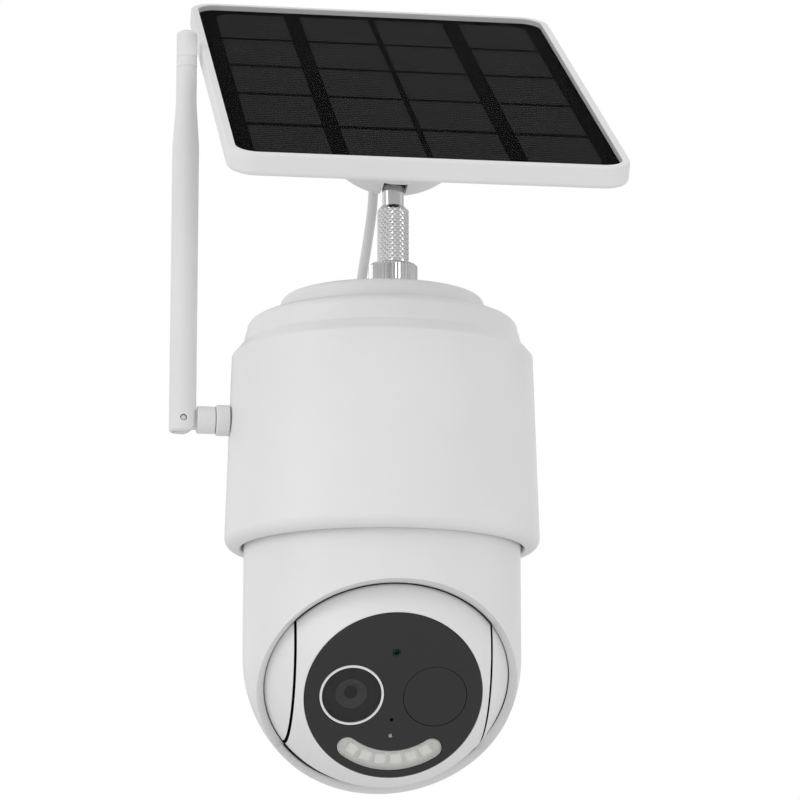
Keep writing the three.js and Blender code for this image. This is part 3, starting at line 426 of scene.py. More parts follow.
def slice_off(
    obj: bpy.types.Object,
    point: tuple[float, float, float],
    normal: tuple[float, float, float],
) -> bpy.types.Object:
    """Cuts away what lies on the normal's side of a plane and closes the cut.

    Args:
        obj: The piece.
        point: A point on the plane.
        normal: The plane's normal.

    Returns:
        The same piece.
    """
    edit(obj)
    bpy.ops.mesh.bisect(plane_co=point, plane_no=normal, use_fill=True, clear_outer=True)
    close_edit()
    return obj


def arc(cx: float, cz: float, radius: float, start: float, end: float, steps: int = 10) -> Points:
    """Gives points on an arc.

    Args:
        cx: Centre's first coordinate.
        cz: Centre's second coordinate.
        radius: Its radius.
        start: First angle in degrees.
        end: Last angle in degrees.
        steps: Number of equal steps.

    Returns:
        The points, both ends included.
    """
    angles = [math.radians(start + (end - start) * i / steps) for i in range(steps + 1)]
    return [(cx + radius * math.cos(a), cz + radius * math.sin(a)) for a in angles]


def turn(axis: str, degrees: float) -> Matrix:
    """Gives a turn about X, Y or Z."""
    return Matrix.Rotation(math.radians(degrees), 4, axis)


def shift(x: float, y: float, z: float) -> Matrix:
    """Gives a move."""
    return Matrix.Translation((x, y, z))


# ---------- finishes ----------
def link(tree: Tree, source: Node, output: str, target: Node, socket: str | int) -> None:
    """Joins two nodes' sockets."""
    tree.links.new(source.outputs[output], target.inputs[socket])


def noise(
    tree: Tree,
    scale: float,
    detail: float = 3.0,
    stretch: tuple[float, float, float] = (1, 1, 1),
) -> Node:
    """Adds a noise texture in object coordinates.

    Args:
        tree: The material's node tree.
        scale: Features per metre.
        detail: Octaves.
        stretch: Scale along each axis.

    Returns:
        The noise node.
    """
    place = tree.nodes.new("ShaderNodeTexCoord")
    mapping = tree.nodes.new("ShaderNodeMapping")
    mapping.inputs["Scale"].default_value = stretch
    texture = tree.nodes.new("ShaderNodeTexNoise")
    texture.inputs["Scale"].default_value = scale
    texture.inputs["Detail"].default_value = detail
    link(tree, place, "Object", mapping, "Vector")
    link(tree, mapping, "Vector", texture, "Vector")
    return texture


def ranged(tree: Tree, source: Node, output: str, low: float, high: float) -> Node:
    """Adds a map from the middle of a noise to a range.

    Args:
        tree: The material's node tree.
        source: The node with the value.
        output: Its output's name.
        low: Result at the value 0.3.
        high: Result at the value 0.7.

    Returns:
        The map node, whose output is Result.
    """
    node = tree.nodes.new("ShaderNodeMapRange")
    node.inputs["From Min"].default_value = 0.3
    node.inputs["From Max"].default_value = 0.7
    node.inputs["To Min"].default_value = low
    node.inputs["To Max"].default_value = high
    link(tree, source, output, node, "Value")
    return node


def mixed_colour(tree: Tree, factor: Node, output: str, a: tuple, b: tuple) -> Node:
    """Adds a mix of two colours by a value.

    Args:
        tree: The material's node tree.
        factor: The node with the value.
        output: Its output's name.
        a: Colour at 0.
        b: Colour at 1.

    Returns:
        The mix node, whose colour output is number 2.
    """
    node = tree.nodes.new("ShaderNodeMix")
    node.data_type = "RGBA"
    node.inputs[6].default_value = (*a, 1)
    node.inputs[7].default_value = (*b, 1)
    link(tree, factor, output, node, 0)
    return node


@dataclass(frozen=True)
class Finish:
    """A surface's colour, sheen, fine grain and the way it has aged.

    Attributes:
        name: The material's name.
        colour: Linear base colour.
        roughness: Middle of its roughness.
        metallic: 1 for a metal.
        specular: Strength of its sheen.
        grain: Fine texture's features per metre.
        relief: Strength of that texture.
        mottle: Share by which the colour wanders.
        streak: Stretch of the texture along each axis.
        see_through: Share of light that passes straight through.
        glow: Share of light that it scatters inside.
    """

    name: str
    colour: tuple[float, float, float]
    roughness: float = 0.45
    metallic: float = 0.0
    specular: float = 0.4
    grain: float = 1800.0
    relief: float = 0.05
    mottle: float = 0.02
    streak: tuple[float, float, float] = (1.0, 1.0, 1.0)
    see_through: float = 0.0
    glow: float = 0.0

    def build(self) -> bpy.types.Material:
        """Makes the material.

        Returns:
            The material, with its nodes.
        """
        material = bpy.data.materials.new(self.name)
        material.use_nodes = True
        tree = material.node_tree
        shader = tree.nodes["Principled BSDF"]
        shader.inputs["Metallic"].default_value = self.metallic
        shader.inputs["Specular IOR Level"].default_value = self.specular
        self.tint(tree, shader)
        fine = noise(tree, self.grain, 2.0, self.streak)
        wear = ranged(tree, noise(tree, 45.0, 4.0), "Fac", self.roughness * 0.85, self.roughness * 1.15)
        link(tree, wear, "Result", shader, "Roughness")
        bump = tree.nodes.new("ShaderNodeBump")
        bump.inputs["Strength"].default_value = self.relief
        bump.inputs["Distance"].default_value = 0.0002
        link(tree, fine, "Fac", bump, "Height")
        link(tree, bump, "Normal", shader, "Normal")
        if self.glow:
            shader.inputs["Subsurface Weight"].default_value = self.glow
            shader.inputs["Subsurface Radius"].default_value = (0.002, 0.002, 0.0018)
        if self.see_through:
            self.clear(tree, shader)
        return material

    def tint(self, tree: Tree, shader: Node) -> None:
        """Gives the shader its wandering base colour.

        Args:
            tree: The material's node tree.
            shader: The principled shader.
        """
        pale = tuple(min(1.0, c * (1 + self.mottle)) for c in self.colour)
        dull = tuple(c * (1 - self.mottle) for c in self.colour)
        mix = mixed_colour(tree, ranged(tree, noise(tree, 22.0, 5.0), "Fac", 0, 1), "Result", dull, pale)
        link(tree, mix, 2, shader, "Base Color")

    def clear(self, tree: Tree, shader: Node) -> None:
        """Lets a share of the light straight through.

        Args:
            tree: The material's node tree.
            shader: The principled shader.
        """
        through = tree.nodes.new("ShaderNodeBsdfTransparent")
        mix = tree.nodes.new("ShaderNodeMixShader")
        mix.inputs[0].default_value = self.see_through
        link(tree, shader, "BSDF", mix, 1)
        link(tree, through, "BSDF", mix, 2)
        link(tree, mix, "Shader", tree.nodes["Material Output"], "Surface")


@dataclass(frozen=True)
class CellFinish(Finish):
    """Dark silicon with thin printed lines across it.

    Attributes:
        across: Direction in the row frame from one line to the next.
        pitch: Distance between lines in metres.
        line: Colour of the lines.
    """

    across: tuple[float, float, float] = (0.0, 1.0, 0.0)
    pitch: float = 0.0027
    line: tuple[float, float, float] = (0.045, 0.045, 0.045)

    def tint(self, tree: Tree, shader: Node) -> None:
        """Lays the lines over the cell's wandering colour.

        Args:
            tree: The material's node tree.
            shader: The principled shader.
        """
        place = tree.nodes.new("ShaderNodeTexCoord")
        along = tree.nodes.new("ShaderNodeVectorMath")
        along.operation = "DOT_PRODUCT"
        along.inputs[1].default_value = [c / self.pitch for c in self.across]
        link(tree, place, "Object", along, 0)
        phase = tree.nodes.new("ShaderNodeMath")
        phase.operation = "FRACT"
        link(tree, along, "Value", phase, 0)
        thin = tree.nodes.new("ShaderNodeMath")
        thin.operation = "LESS_THAN"
        thin.inputs[1].default_value = 0.28
        link(tree, phase, "Value", thin, 0)
        crystals = ranged(tree, noise(tree, 60.0, 2.0), "Fac", 0, 1)
        dull = tuple(c * (1 - self.mottle) for c in self.colour)
        pale = tuple(c * (1 + self.mottle) for c in self.colour)
        base = mixed_colour(tree, crystals, "Result", dull, pale)
        lines = mixed_colour(tree, thin, "Value", self.colour, self.line)
        tree.links.new(base.outputs[2], lines.inputs[6])
        link(tree, lines, 2, shader, "Base Color")


@dataclass(frozen=True)
class BoardFinish(Finish):
    """Solder mask over copper tracks."""

    def tint(self, tree: Tree, shader: Node) -> None:
        """Shows the tracks as paler cells under the mask.

        Args:
            tree: The material's node tree.
            shader: The principled shader.
        """
        place = tree.nodes.new("ShaderNodeTexCoord")
        tracks = tree.nodes.new("ShaderNodeTexVoronoi")
        tracks.distance = "MANHATTAN"
        tracks.inputs["Scale"].default_value = 260.0
        link(tree, place, "Object", tracks, "Vector")
        pale = tuple(min(1.0, c * 1.8) for c in self.colour)
        mix = mixed_colour(tree, ranged(tree, tracks, "Distance", 0, 1), "Result", pale, self.colour)
        link(tree, mix, 2, shader, "Base Color")


PANEL_PITCH = 32.3  # degrees that the panel leans at rest
PANEL_UPWARD = (0.0, math.cos(math.radians(PANEL_PITCH)), math.sin(math.radians(PANEL_PITCH)))
FINISHES = {
    "white_plastic": Finish("white_plastic", (0.80, 0.80, 0.80), 0.42, specular=0.35, relief=0.06),
    "antenna_white": Finish(
        "antenna_white", (0.78, 0.78, 0.78), 0.6, specular=0.25, grain=2600, relief=0.08
    ),
    "inner_plastic": Finish("inner_plastic", (0.66, 0.66, 0.64), 0.55, specular=0.3, relief=0.08),
    "dark_face": Finish("dark_face", (0.028, 0.028, 0.028), 0.5, specular=0.3, relief=0.05, mottle=0.05),
    "smoked_window": Finish(
        "smoked_window",
        (0.03, 0.03, 0.03),
        0.4,
        specular=0.25,
        grain=300,
        relief=0.002,
        see_through=0.45,
    ),
    "lamp_diffuser": Finish("lamp_diffuser", (0.86, 0.86, 0.83), 0.4, relief=0.03, see_through=0.66),
    "lens_metal": Finish("lens_metal", (0.74, 0.75, 0.78), 0.5, relief=0.02, streak=(1, 1, 8)),
    "lens_glass": Finish("lens_glass", (0.01, 0.01, 0.02), 0.05, specular=0.9, relief=0.005),
    "nickel": Finish(
        "nickel",
        (0.74, 0.74, 0.745),
        0.16,
        metallic=1.0,
        relief=0.03,
        mottle=0.05,
        streak=(1, 1, 0.05),
    ),
    "steel": Finish(
        "steel",
        (0.5, 0.51, 0.52),
        0.35,
        metallic=1.0,
        relief=0.06,
        mottle=0.08,
        streak=(0.2, 1, 1),
    ),
    "brass": Finish("brass", (0.6, 0.44, 0.2), 0.3, metallic=1.0, relief=0.06, mottle=0.1),
    "gear_plastic": Finish("gear_plastic", (0.76, 0.73, 0.64), 0.5, relief=0.06, mottle=0.04, glow=0.1),
    "board_green": BoardFinish("board_green", (0.015, 0.13, 0.05), 0.4, relief=0.1),
    "cell_wrap": Finish("cell_wrap", (0.04, 0.17, 0.45), 0.35, relief=0.05, mottle=0.08),
    "rubber": Finish("rubber", (0.03, 0.03, 0.03), 0.75, specular=0.2, grain=3200, relief=0.2, mottle=0.15),
    "panel_glass": Finish(
        "panel_glass", (0.004, 0.004, 0.004), 0.2, specular=0.01, relief=0.004, see_through=0.92
    ),
    "solar_cell": CellFinish(
        "solar_cell", (0.019, 0.019, 0.0195), 0.5, specular=0.0, mottle=0.08, across=PANEL_UPWARD
    ),
    "cell_backing": Finish("cell_backing", (0.004, 0.004, 0.0042), 0.5, specular=0.0, mottle=0.1),
    "lens_baffle": Finish("lens_baffle", (0.17, 0.17, 0.17), 0.6, specular=0.1, relief=0.01),
    "lamp_block": Finish("lamp_block", (0.96, 0.96, 0.92), 0.4, relief=0.03),
    "cable_jacket": Finish("cable_jacket", (0.76, 0.76, 0.76), 0.5, specular=0.3, grain=2400, relief=0.1),
    # shadow_line is painted shade: the black put on faces deep in gaps
    "shadow_line": Finish("shadow_line", (0.004, 0.004, 0.004), 0.8, specular=0.05, relief=0.1),
}


class Library:
    """Builds each finish once and hands it out by name."""

    def __init__(self) -> None:
        """Starts with no materials."""
        self.made: dict[str, bpy.types.Material] = {}

    def get(self, name: str) -> bpy.types.Material:
        """Gives a finish's material.

        Args:
            name: A key of FINISHES.

        Returns:
            The material, built at its first use.
        """
        if name not in self.made:
            self.made[name] = FINISHES[name].build()
        return self.made[name]


# ---------- the frame's places ----------
@dataclass(frozen=True)
class Places:
    """Where the sub-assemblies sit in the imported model, as matrices from millimetres to the row frame.

    Attributes:
        body: Pan axis at the underside of the upper housing's lip.
        head: Ball centre, face towards -Y.
        face: Ball centre, with Z out of the face.
        antenna: Antenna's hinge pin.
        post: Panel's pivot, upright.
        panel: Panel's pivot and middle, Z out of the glass.
    """

    body: Matrix
    head: Matrix
    face: Matrix
    antenna: Matrix
    post: Matrix
    panel: Matrix

    @staticmethod
    def middle(node: str) -> Vector:
        """Gives the middle of a CAD node's box."""
        low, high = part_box(node)
        return (low + high) / 2

    @classmethod
    def read(cls, face_pitch: float, panel_shift: float) -> "Places":
        """Works the places out from the CAD nodes.

        Args:
            face_pitch: Degrees that the head looks down.
            panel_shift: Panel's middle, to the side of the post, in millimetres.

        Returns:
            The places.
        """
        axis = cls.middle("pan_cover")
        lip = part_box("upper_shell")[0].z
        ball = cls.middle("tilt_axle_left").z
        pin = cls.middle("antenna_pin")
        pivot = cls.middle("tilt_pin")
        stem = cls.middle("post_stem")
        scale = Matrix.Scale(MM, 4)
        head = shift(axis.x, axis.y, ball) @ turn("X", face_pitch) @ scale
        post = shift(stem.x, pivot.y, pivot.z) @ scale
        return cls(
            body=shift(axis.x, axis.y, lip) @ scale,
            head=head,
            face=head @ turn("X", 90),
            antenna=shift(*pin) @ scale,
            post=post,
            panel=post @ turn("X", PANEL_PITCH) @ shift(panel_shift, 0, 0),
        )


class Assembly:
    """What every sub-assembly shares: its places, its finishes and the way a piece is handed over."""

    def __init__(self, places: Places, library: Library) -> None:
        """Keeps the places and the finishes.

        Args:
            places: Where the sub-assemblies sit.
            library: The finishes.
        """
        self.places = places
        self.library = library

    def hand_over(
        self, obj: bpy.types.Object, place: Matrix, finish: str, body: str, *nodes: str, angle: float = 32.0
    ) -> bpy.types.Object:
        """Places a finished mesh, dresses it and ties it to its CAD body.

        Args:
            obj: The mesh, in millimetres.
            place: Matrix to the row frame.
            finish: Its finish, which is also its material slot.
            body: CAD body that it rides on.
            *nodes: CAD nodes that it stands for.
            angle: Folds sharper than this stay crisp.

        Returns:
            The piece.
        """
        bake(obj, place)
        smooth(obj, angle)
        self.dress(obj, finish)
        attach(obj, body)
        if nodes:
            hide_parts(*nodes)
        LOG.info("piece %s rides on %s", obj.name, body)
        return obj

    def dress(self, obj: bpy.types.Object, finish: str) -> None:
        """Gives a piece its material.

        Args:
            obj: The piece.
            finish: A key of FINISHES.
        """
        obj.data.materials.clear()
        obj.data.materials.append(self.library.get(finish))


# ---------- upper housing ----------
@dataclass
class HousingSizes:
    """Sizes of the upper housing and what is on it, in millimetres.

    Heights are from the underside of the lower lip.
    """

    r_low: float = 68.7
    r_top: float = 66.2
    lip_round: float = 5.0
    bore: float = 61.8
    floor: float = 15.7
    skirt: float = 85.7
    ledge: float = 3.9
    tier: float = 8.0
    tier_taper: float = 1.8
    shoulder: float = 8.4
    wall: float = 2.5
    spigot: float = 40.0
    cap_r: float = 45.0
    cap_h: float = 9.0
    cap_round: float = 3.5
    arm_w: float = 44.0
    arm_h: float = 36.0
    arm_z: float = 44.0
    arm_end: float = 87.9
    arm_socket: float = 14.0
    arm_root: float = 4.5
    plate_w: float = 84.0
    plate_h: float = 64.0
    plate_t: float = 5.0
    plate_corner: float = 6.0
    socket_wall: float = 4.0
    cross_hole_r: float = 2.3
    wall_hole_x: float = 33.0
    wall_hole_z: float = 23.0
    pocket: tuple[float, float, float] = (38.0, 22.0, 18.0)
    pocket_z: float = 34.0
    pocket_angle: float = 45.0
    pocket_liner: float = 2.0
    button_y: float = 13.0
    button_z: float = 5.0
    button_hole_r: float = 2.7
    grille_angle: float = 135.0
    grille_z: float = 36.0
    slit_pitch: float = 5.0
    slit_half_w: float = 1.0
    slit_half_h: float = 8.0
    antenna_z: float = 55.7
    antenna_hole_r: float = 3.5
    post_x: float = 1.0
    post_y: float = -26.1
    gland_x: float = -9.0
    gland_y: float = 9.0
    gland_r: float = 4.5

    @property
    def chamfer_top(self) -> float:
        """Top of the ledge's chamfer."""
        return self.skirt + self.ledge

    @property
    def tier_top(self) -> float:
        """Top of the second tier's wall."""
        return self.chamfer_top + self.tier

    @property
    def deck(self) -> float:
        """Top of the shell, where the cap sits."""
        return self.tier_top + 0.6 * self.shoulder

    @property
    def cap_top(self) -> float:
        """Flat top of the cap."""
        return self.deck + GAP + self.cap_h

    def skirt_r(self, z: float) -> float:
        """Outer radius of the skirt at a height."""
        share = (z - self.lip_round) / (self.skirt - self.lip_round)
        return self.r_low + (self.r_top - self.r_low) * share


class UpperHousing(Assembly):
    """The fixed upper housing, its cap, gland, service cover, buttons and wall bracket."""

    sizes = HousingSizes()

    def build(self) -> None:
        """Builds every piece of the upper housing."""
        self.shell()
        self.cap()
        self.gland()
        self.service_cover()
        self.buttons()
        self.bracket()
        self.bracket_screws()

    def profile(self) -> Points:
        """Gives the shell's closed section.

        Returns:
            Points of radius and height, from the lip's bore outward.
        """
        s = self.sizes
        tier_r = s.r_top - s.ledge - 1
        rim_r = tier_r - s.tier_taper - s.shoulder
        shoulder = [
            (rim_r + s.shoulder * math.cos(t), s.tier_top + (s.deck - s.tier_top) * math.sin(t))
            for t in (math.pi / 2 * i / 12 for i in range(13))
        ]
        return [
            (s.bore, 0.6),
            (s.bore + 0.6, 0),
            *arc(s.r_low - s.lip_round, s.lip_round, s.lip_round, -90, 0, 14),
            *arc(s.r_top - 1, s.skirt - 1, 1, 5, 42, 4),
            (s.r_top - s.ledge + 0.3, s.chamfer_top - 0.3),
            (s.r_top - s.ledge - 0.4, s.chamfer_top + 0.3),
            (tier_r, s.chamfer_top + 1.2),
            *shoulder,
            (s.spigot + 0.4, s.deck),
            (s.spigot, s.deck - 0.4),
            (s.spigot, s.deck - s.wall),
            (rim_r - s.wall, s.deck - s.wall),
            (tier_r - s.tier_taper - s.wall, s.tier_top),
            (s.r_top - s.ledge - s.wall, s.chamfer_top),
            (s.r_top - s.wall, s.skirt),
            (s.skirt_r(s.floor) - s.wall, s.floor),
            (s.bore, s.floor),
            (s.bore, 0.6),
        ]

    def shell(self) -> None:
        """Builds the shell with its arm, pocket, grille and holes."""
        s = self.sizes
        obj = turned("housing_shell", self.profile(), 160)
        half_w, half_h = s.arm_w / 2, s.arm_h / 2
        arm = block(
            "arm",
            (-half_w, s.r_top - s.arm_root, s.arm_z - half_h),
            (half_w, s.arm_end, s.arm_z + half_h),
        )
        soften(arm, 2.0, 4)
        combine(obj, arm, "UNION")
        width, height, depth = s.pocket
        mouth = s.r_top + 0.5
        inner = mouth - depth
        at_pocket = turn("Z", s.pocket_angle) @ shift(0, 0, s.pocket_z)
        liner = block(
            "liner",
            (inner - s.pocket_liner, -width / 2 - s.pocket_liner, -height / 2 - s.pocket_liner),
            (mouth - 1.2, width / 2 + s.pocket_liner, height / 2 + s.pocket_liner),
        )
        combine(obj, bake(liner, at_pocket), "UNION")
        hollow = block("hollow", (inner, -width / 2, -height / 2), (mouth + 9, width / 2, height / 2))
        soften(hollow, 1.5, 3)
        combine(obj, bake(hollow, at_pocket))
        for z in (s.button_z, -s.button_z):
            hole = cylinder("hole", s.button_hole_r, inner - 5, inner + 3)
            combine(obj, bake(hole, at_pocket @ shift(0, s.button_y, z) @ turn("Y", 90)))
        slot = block("slot", (inner - 4, -11.5, -1.5), (inner + 4, 3.5, 1.5))
        combine(obj, bake(slot, at_pocket))
        for i in range(-2, 3):
            slit = block(
                "slit",
                (s.r_top - 8, i * s.slit_pitch - s.slit_half_w, s.grille_z - s.slit_half_h),
                (s.r_low + 4, i * s.slit_pitch + s.slit_half_w, s.grille_z + s.slit_half_h),
            )
            soften(slit, 0.9, 4)
            combine(obj, bake(slit, turn("Z", s.grille_angle)))
        bore = cylinder("bore", s.antenna_hole_r, -8, 8)
        combine(obj, bake(bore, shift(-s.r_top, 0, s.antenna_z) @ turn("Y", 90)))
        screw_y = s.arm_end - s.arm_socket / 2
        pilot = cylinder("pilot", s.cross_hole_r, -40, 40)
        combine(obj, bake(pilot, shift(0, screw_y, s.arm_z) @ turn("Y", 90)))
        self.hand_over(obj, self.places.body, "white_plastic", "root", "upper_shell")

    def cap(self) -> None:
        """Builds the top cap with its spigot and boss."""
        s = self.sizes
        low = s.deck + GAP
        profile = [
            (0, s.cap_top - s.wall),
            (s.spigot - s.wall, s.cap_top - s.wall),
            (s.spigot - s.wall, low - 5),
            (s.spigot - GAP, low - 5),
            (s.spigot - GAP, low),
            (s.cap_r - 0.5, low),
            (s.cap_r, low + 0.5),
            *arc(s.cap_r - s.cap_round, s.cap_top - s.cap_round, s.cap_round, 0, 90, 12),
            (0, s.cap_top),
        ]
        obj = turned("housing_cap", profile, 160)
        stud = shift(s.post_x, s.post_y, 0)
        boss = cylinder("boss", 7.7, s.cap_top - 11.5, s.cap_top - 1)
        combine(obj, bake(boss, stud), "UNION")
        combine(obj, bake(cylinder("seat", 5.5, s.cap_top - 13, s.cap_top - 2.5), stud))
        combine(obj, bake(cylinder("stud_hole", 3.77, s.cap_top - 4, s.cap_top + 1), stud))
        hole = cylinder("gland_hole", s.gland_r - 0.9, s.cap_top - 5, s.cap_top + 1)
        combine(obj, bake(hole, shift(s.gland_x, s.gland_y, 0)))
        self.hand_over(obj, self.places.body, "white_plastic", "root", "top_cap")

    def gland(self) -> None:
        """Builds the ribbed cable gland."""
        s = self.sizes
        neck = s.gland_r - 1.2
        profile = [
            (2.5, s.cap_top - 4),
            (neck, s.cap_top - 4),
            (neck, s.cap_top + GAP),
            (s.gland_r, s.cap_top + GAP),
            (s.gland_r, s.cap_top + 1.0),
            (s.gland_r - 0.4, s.cap_top + 1.2),
            (s.gland_r - 0.2, s.cap_top + 1.5),
            (s.gland_r - 0.3, s.cap_top + 2.0),
            (s.gland_r - 0.7, s.cap_top + 2.2),
            *arc(s.gland_r - 1.2, s.cap_top + 2.5, 0.5, 0, 90, 4),
            (2.5, s.cap_top + 3),
            (2.5, s.cap_top - 4),
        ]
        obj = bake(turned("cable_gland_ribbed", profile, MEDIUM), shift(s.gland_x, s.gland_y, 0))
        self.hand_over(obj, self.places.body, "cable_jacket", "root", "cable_gland")

    def service_cover(self) -> None:
        """Builds the rubber cover that follows the skirt, with a finger lip."""
        s = self.sizes
        width, height, _ = s.pocket
        mouth = s.r_top + 0.5
        at_pocket = turn("Z", s.pocket_angle) @ shift(0, 0, s.pocket_z)
        inner = (mouth - 6.5, -width / 2 + GAP, -height / 2 + GAP)
        plug = block("service_cover_rubber", inner, (mouth + 9, width / 2 - GAP, height / 2 - GAP))
        skin = turned(
            "skin",
            [
                (0, -height),
                (s.skirt_r(s.pocket_z - height), -height),
                (s.skirt_r(s.pocket_z + height), height),
                (0, height),
            ],
        )
        combine(plug, skin, "INTERSECT")
        scoop = block("scoop", (mouth + 0.2, -6, -height / 2 - 1), (mouth + 4, 6, -height / 2 + 3))
        soften(scoop, 0.8, 3)
        combine(plug, scoop)
        soften(plug, 0.5, 3, 50)
        bake(plug, at_pocket)
        self.hand_over(plug, self.places.body, "rubber", "service_cover", "service_cover")

    def buttons(self) -> None:
        """Builds the two push buttons behind the cover, one made and one copied."""
        s = self.sizes
        inner = s.r_top + 0.5 - s.pocket[2]
        first = cylinder("button_power", 2.4, inner - 3.5, inner + 1.6, 0.4)
        second = first.copy()
        second.data = first.data.copy()
        second.name = "button_reset"
        bpy.context.collection.objects.link(second)
        buttons = ((first, s.button_z, "power_button"), (second, -s.button_z, "reset_button"))
        for obj, z, body in buttons:
            at = turn("Z", s.pocket_angle) @ shift(0, s.button_y, s.pocket_z + z) @ turn("Y", 90)
            self.hand_over(bake(obj, at), self.places.body, "dark_face", body, body)

    def bracket(self) -> None:
        """Builds the wall plate with its socket and screw holes."""
        s = self.sizes
        wall = s.arm_end + GAP + s.plate_t
        plate = slab("wall_bracket_plate", s.plate_w, s.plate_h, s.plate_corner, 0, s.plate_t)
        bake(plate, shift(0, wall, s.arm_z) @ turn("X", 90))
        sleeve_w = s.arm_w / 2 + GAP + s.socket_wall
        sleeve_h = s.arm_h / 2 + GAP + s.socket_wall
        front = s.arm_end - s.arm_socket
        sleeve = block(
            "sleeve",
            (-sleeve_w, front, s.arm_z - sleeve_h),
            (sleeve_w, wall - 1, s.arm_z + sleeve_h),
        )
        combine(plate, sleeve, "UNION")
        soften(plate, 0.9, 3)
        room_w, room_h = s.arm_w / 2 + GAP, s.arm_h / 2 + GAP
        room = block(
            "room",
            (-room_w, front - 1, s.arm_z - room_h),
            (room_w, s.arm_end + GAP, s.arm_z + room_h),
        )
        combine(plate, room)
        cross = shift(0, s.arm_end - s.arm_socket / 2, s.arm_z) @ turn("Y", 90)
        combine(plate, bake(cylinder("cross_hole", s.cross_hole_r, -40, 40), cross))
        for x in (-s.wall_hole_x, s.wall_hole_x):
            for z in (-s.wall_hole_z, s.wall_hole_z):
                sink = turned("sink", [(0, -1), (2.5, -1), (2.5, 2.8), (4.9, 5.2), (0, 5.2)], MEDIUM)
                combine(plate, bake(sink, shift(x, wall, s.arm_z + z) @ turn("X", 90)))
        self.hand_over(plate, self.places.body, "white_plastic", "root", "wall_bracket")

    def bracket_screws(self) -> None:
        """Builds the two cross screws with hexagon sockets, one made and one copied."""
        s = self.sizes
        seat = s.arm_w / 2 + GAP + 4 + GAP
        profile = [
            (0, s.arm_w / 2 - 10),
            (2.0, s.arm_w / 2 - 10),
            (2.0, seat),
            (3.8, seat),
            *arc(2.6, seat + 1.4, 1.2, 0, 90, 6),
            (0, seat + 2.6),
        ]
        right = turned("bracket_screw_head_right", profile, MEDIUM)
        combine(right, cylinder("socket", 1.6, seat + 1, seat + 4, sides=6))
        left = right.copy()
        left.data = right.data.copy()
        left.name = "bracket_screw_head_left"
        bpy.context.collection.objects.link(left)
        at = shift(0, s.arm_end - s.arm_socket / 2, s.arm_z)
        for obj, side in ((right, Side.RIGHT), (left, Side.LEFT)):
            node = f"bracket_screw_{side.name.lower()}"
            bake(obj, at @ turn("Y", 90 * side.value))
            self.hand_over(obj, self.places.body, "steel", "root", node)


# ---------- pan housing and head ----------
@dataclass
class HeadSizes:
    """Sizes of the turning lower half and the ball-shaped head, in millimetres."""

    pan_r: float = 60.3
    pan_top: float = 13.0
    pan_wall: float = 3.0
    ball_z: float = -47.1
    ball_r: float = 55.8
    half_w: float = 41.5
    side_gap: float = 1.0
    opening_r: float = 50.0
    opening_depth: float = 18.0
    opening_pitch: float = 41.8
    opening_wide: float = 1.035
    opening_rim: float = 3.0
    # width of the black ring of painted shade on the opening's rim
    shade_ring_width: float = 0.45
    plate_r: float = 37.87
    plate_t: float = 2.4
    back: float = 25.0
    seam: float = 8.0
    wall: float = 2.5
    axle_r: float = 4.0
    face_pitch: float = 30.5
    lens_x: float = 17.8
    lens_ring_r: float = 13.7
    lens_ring_w: float = 1.0
    lens_r: float = 6.75
    pupil_r: float = 2.8
    motion_r: float = 13.5
    smile_r: float = 30.0
    smile_w: float = 8.7
    smile_half: float = 37.0
    daylight_y: float = 19.7
    mic_y: float = -11.0
    status_y: float = -18.4

    @property
    def face(self) -> float:
        """Ball centre to the flat face."""
        return math.sqrt(self.ball_r**2 - (self.plate_r + GAP) ** 2)


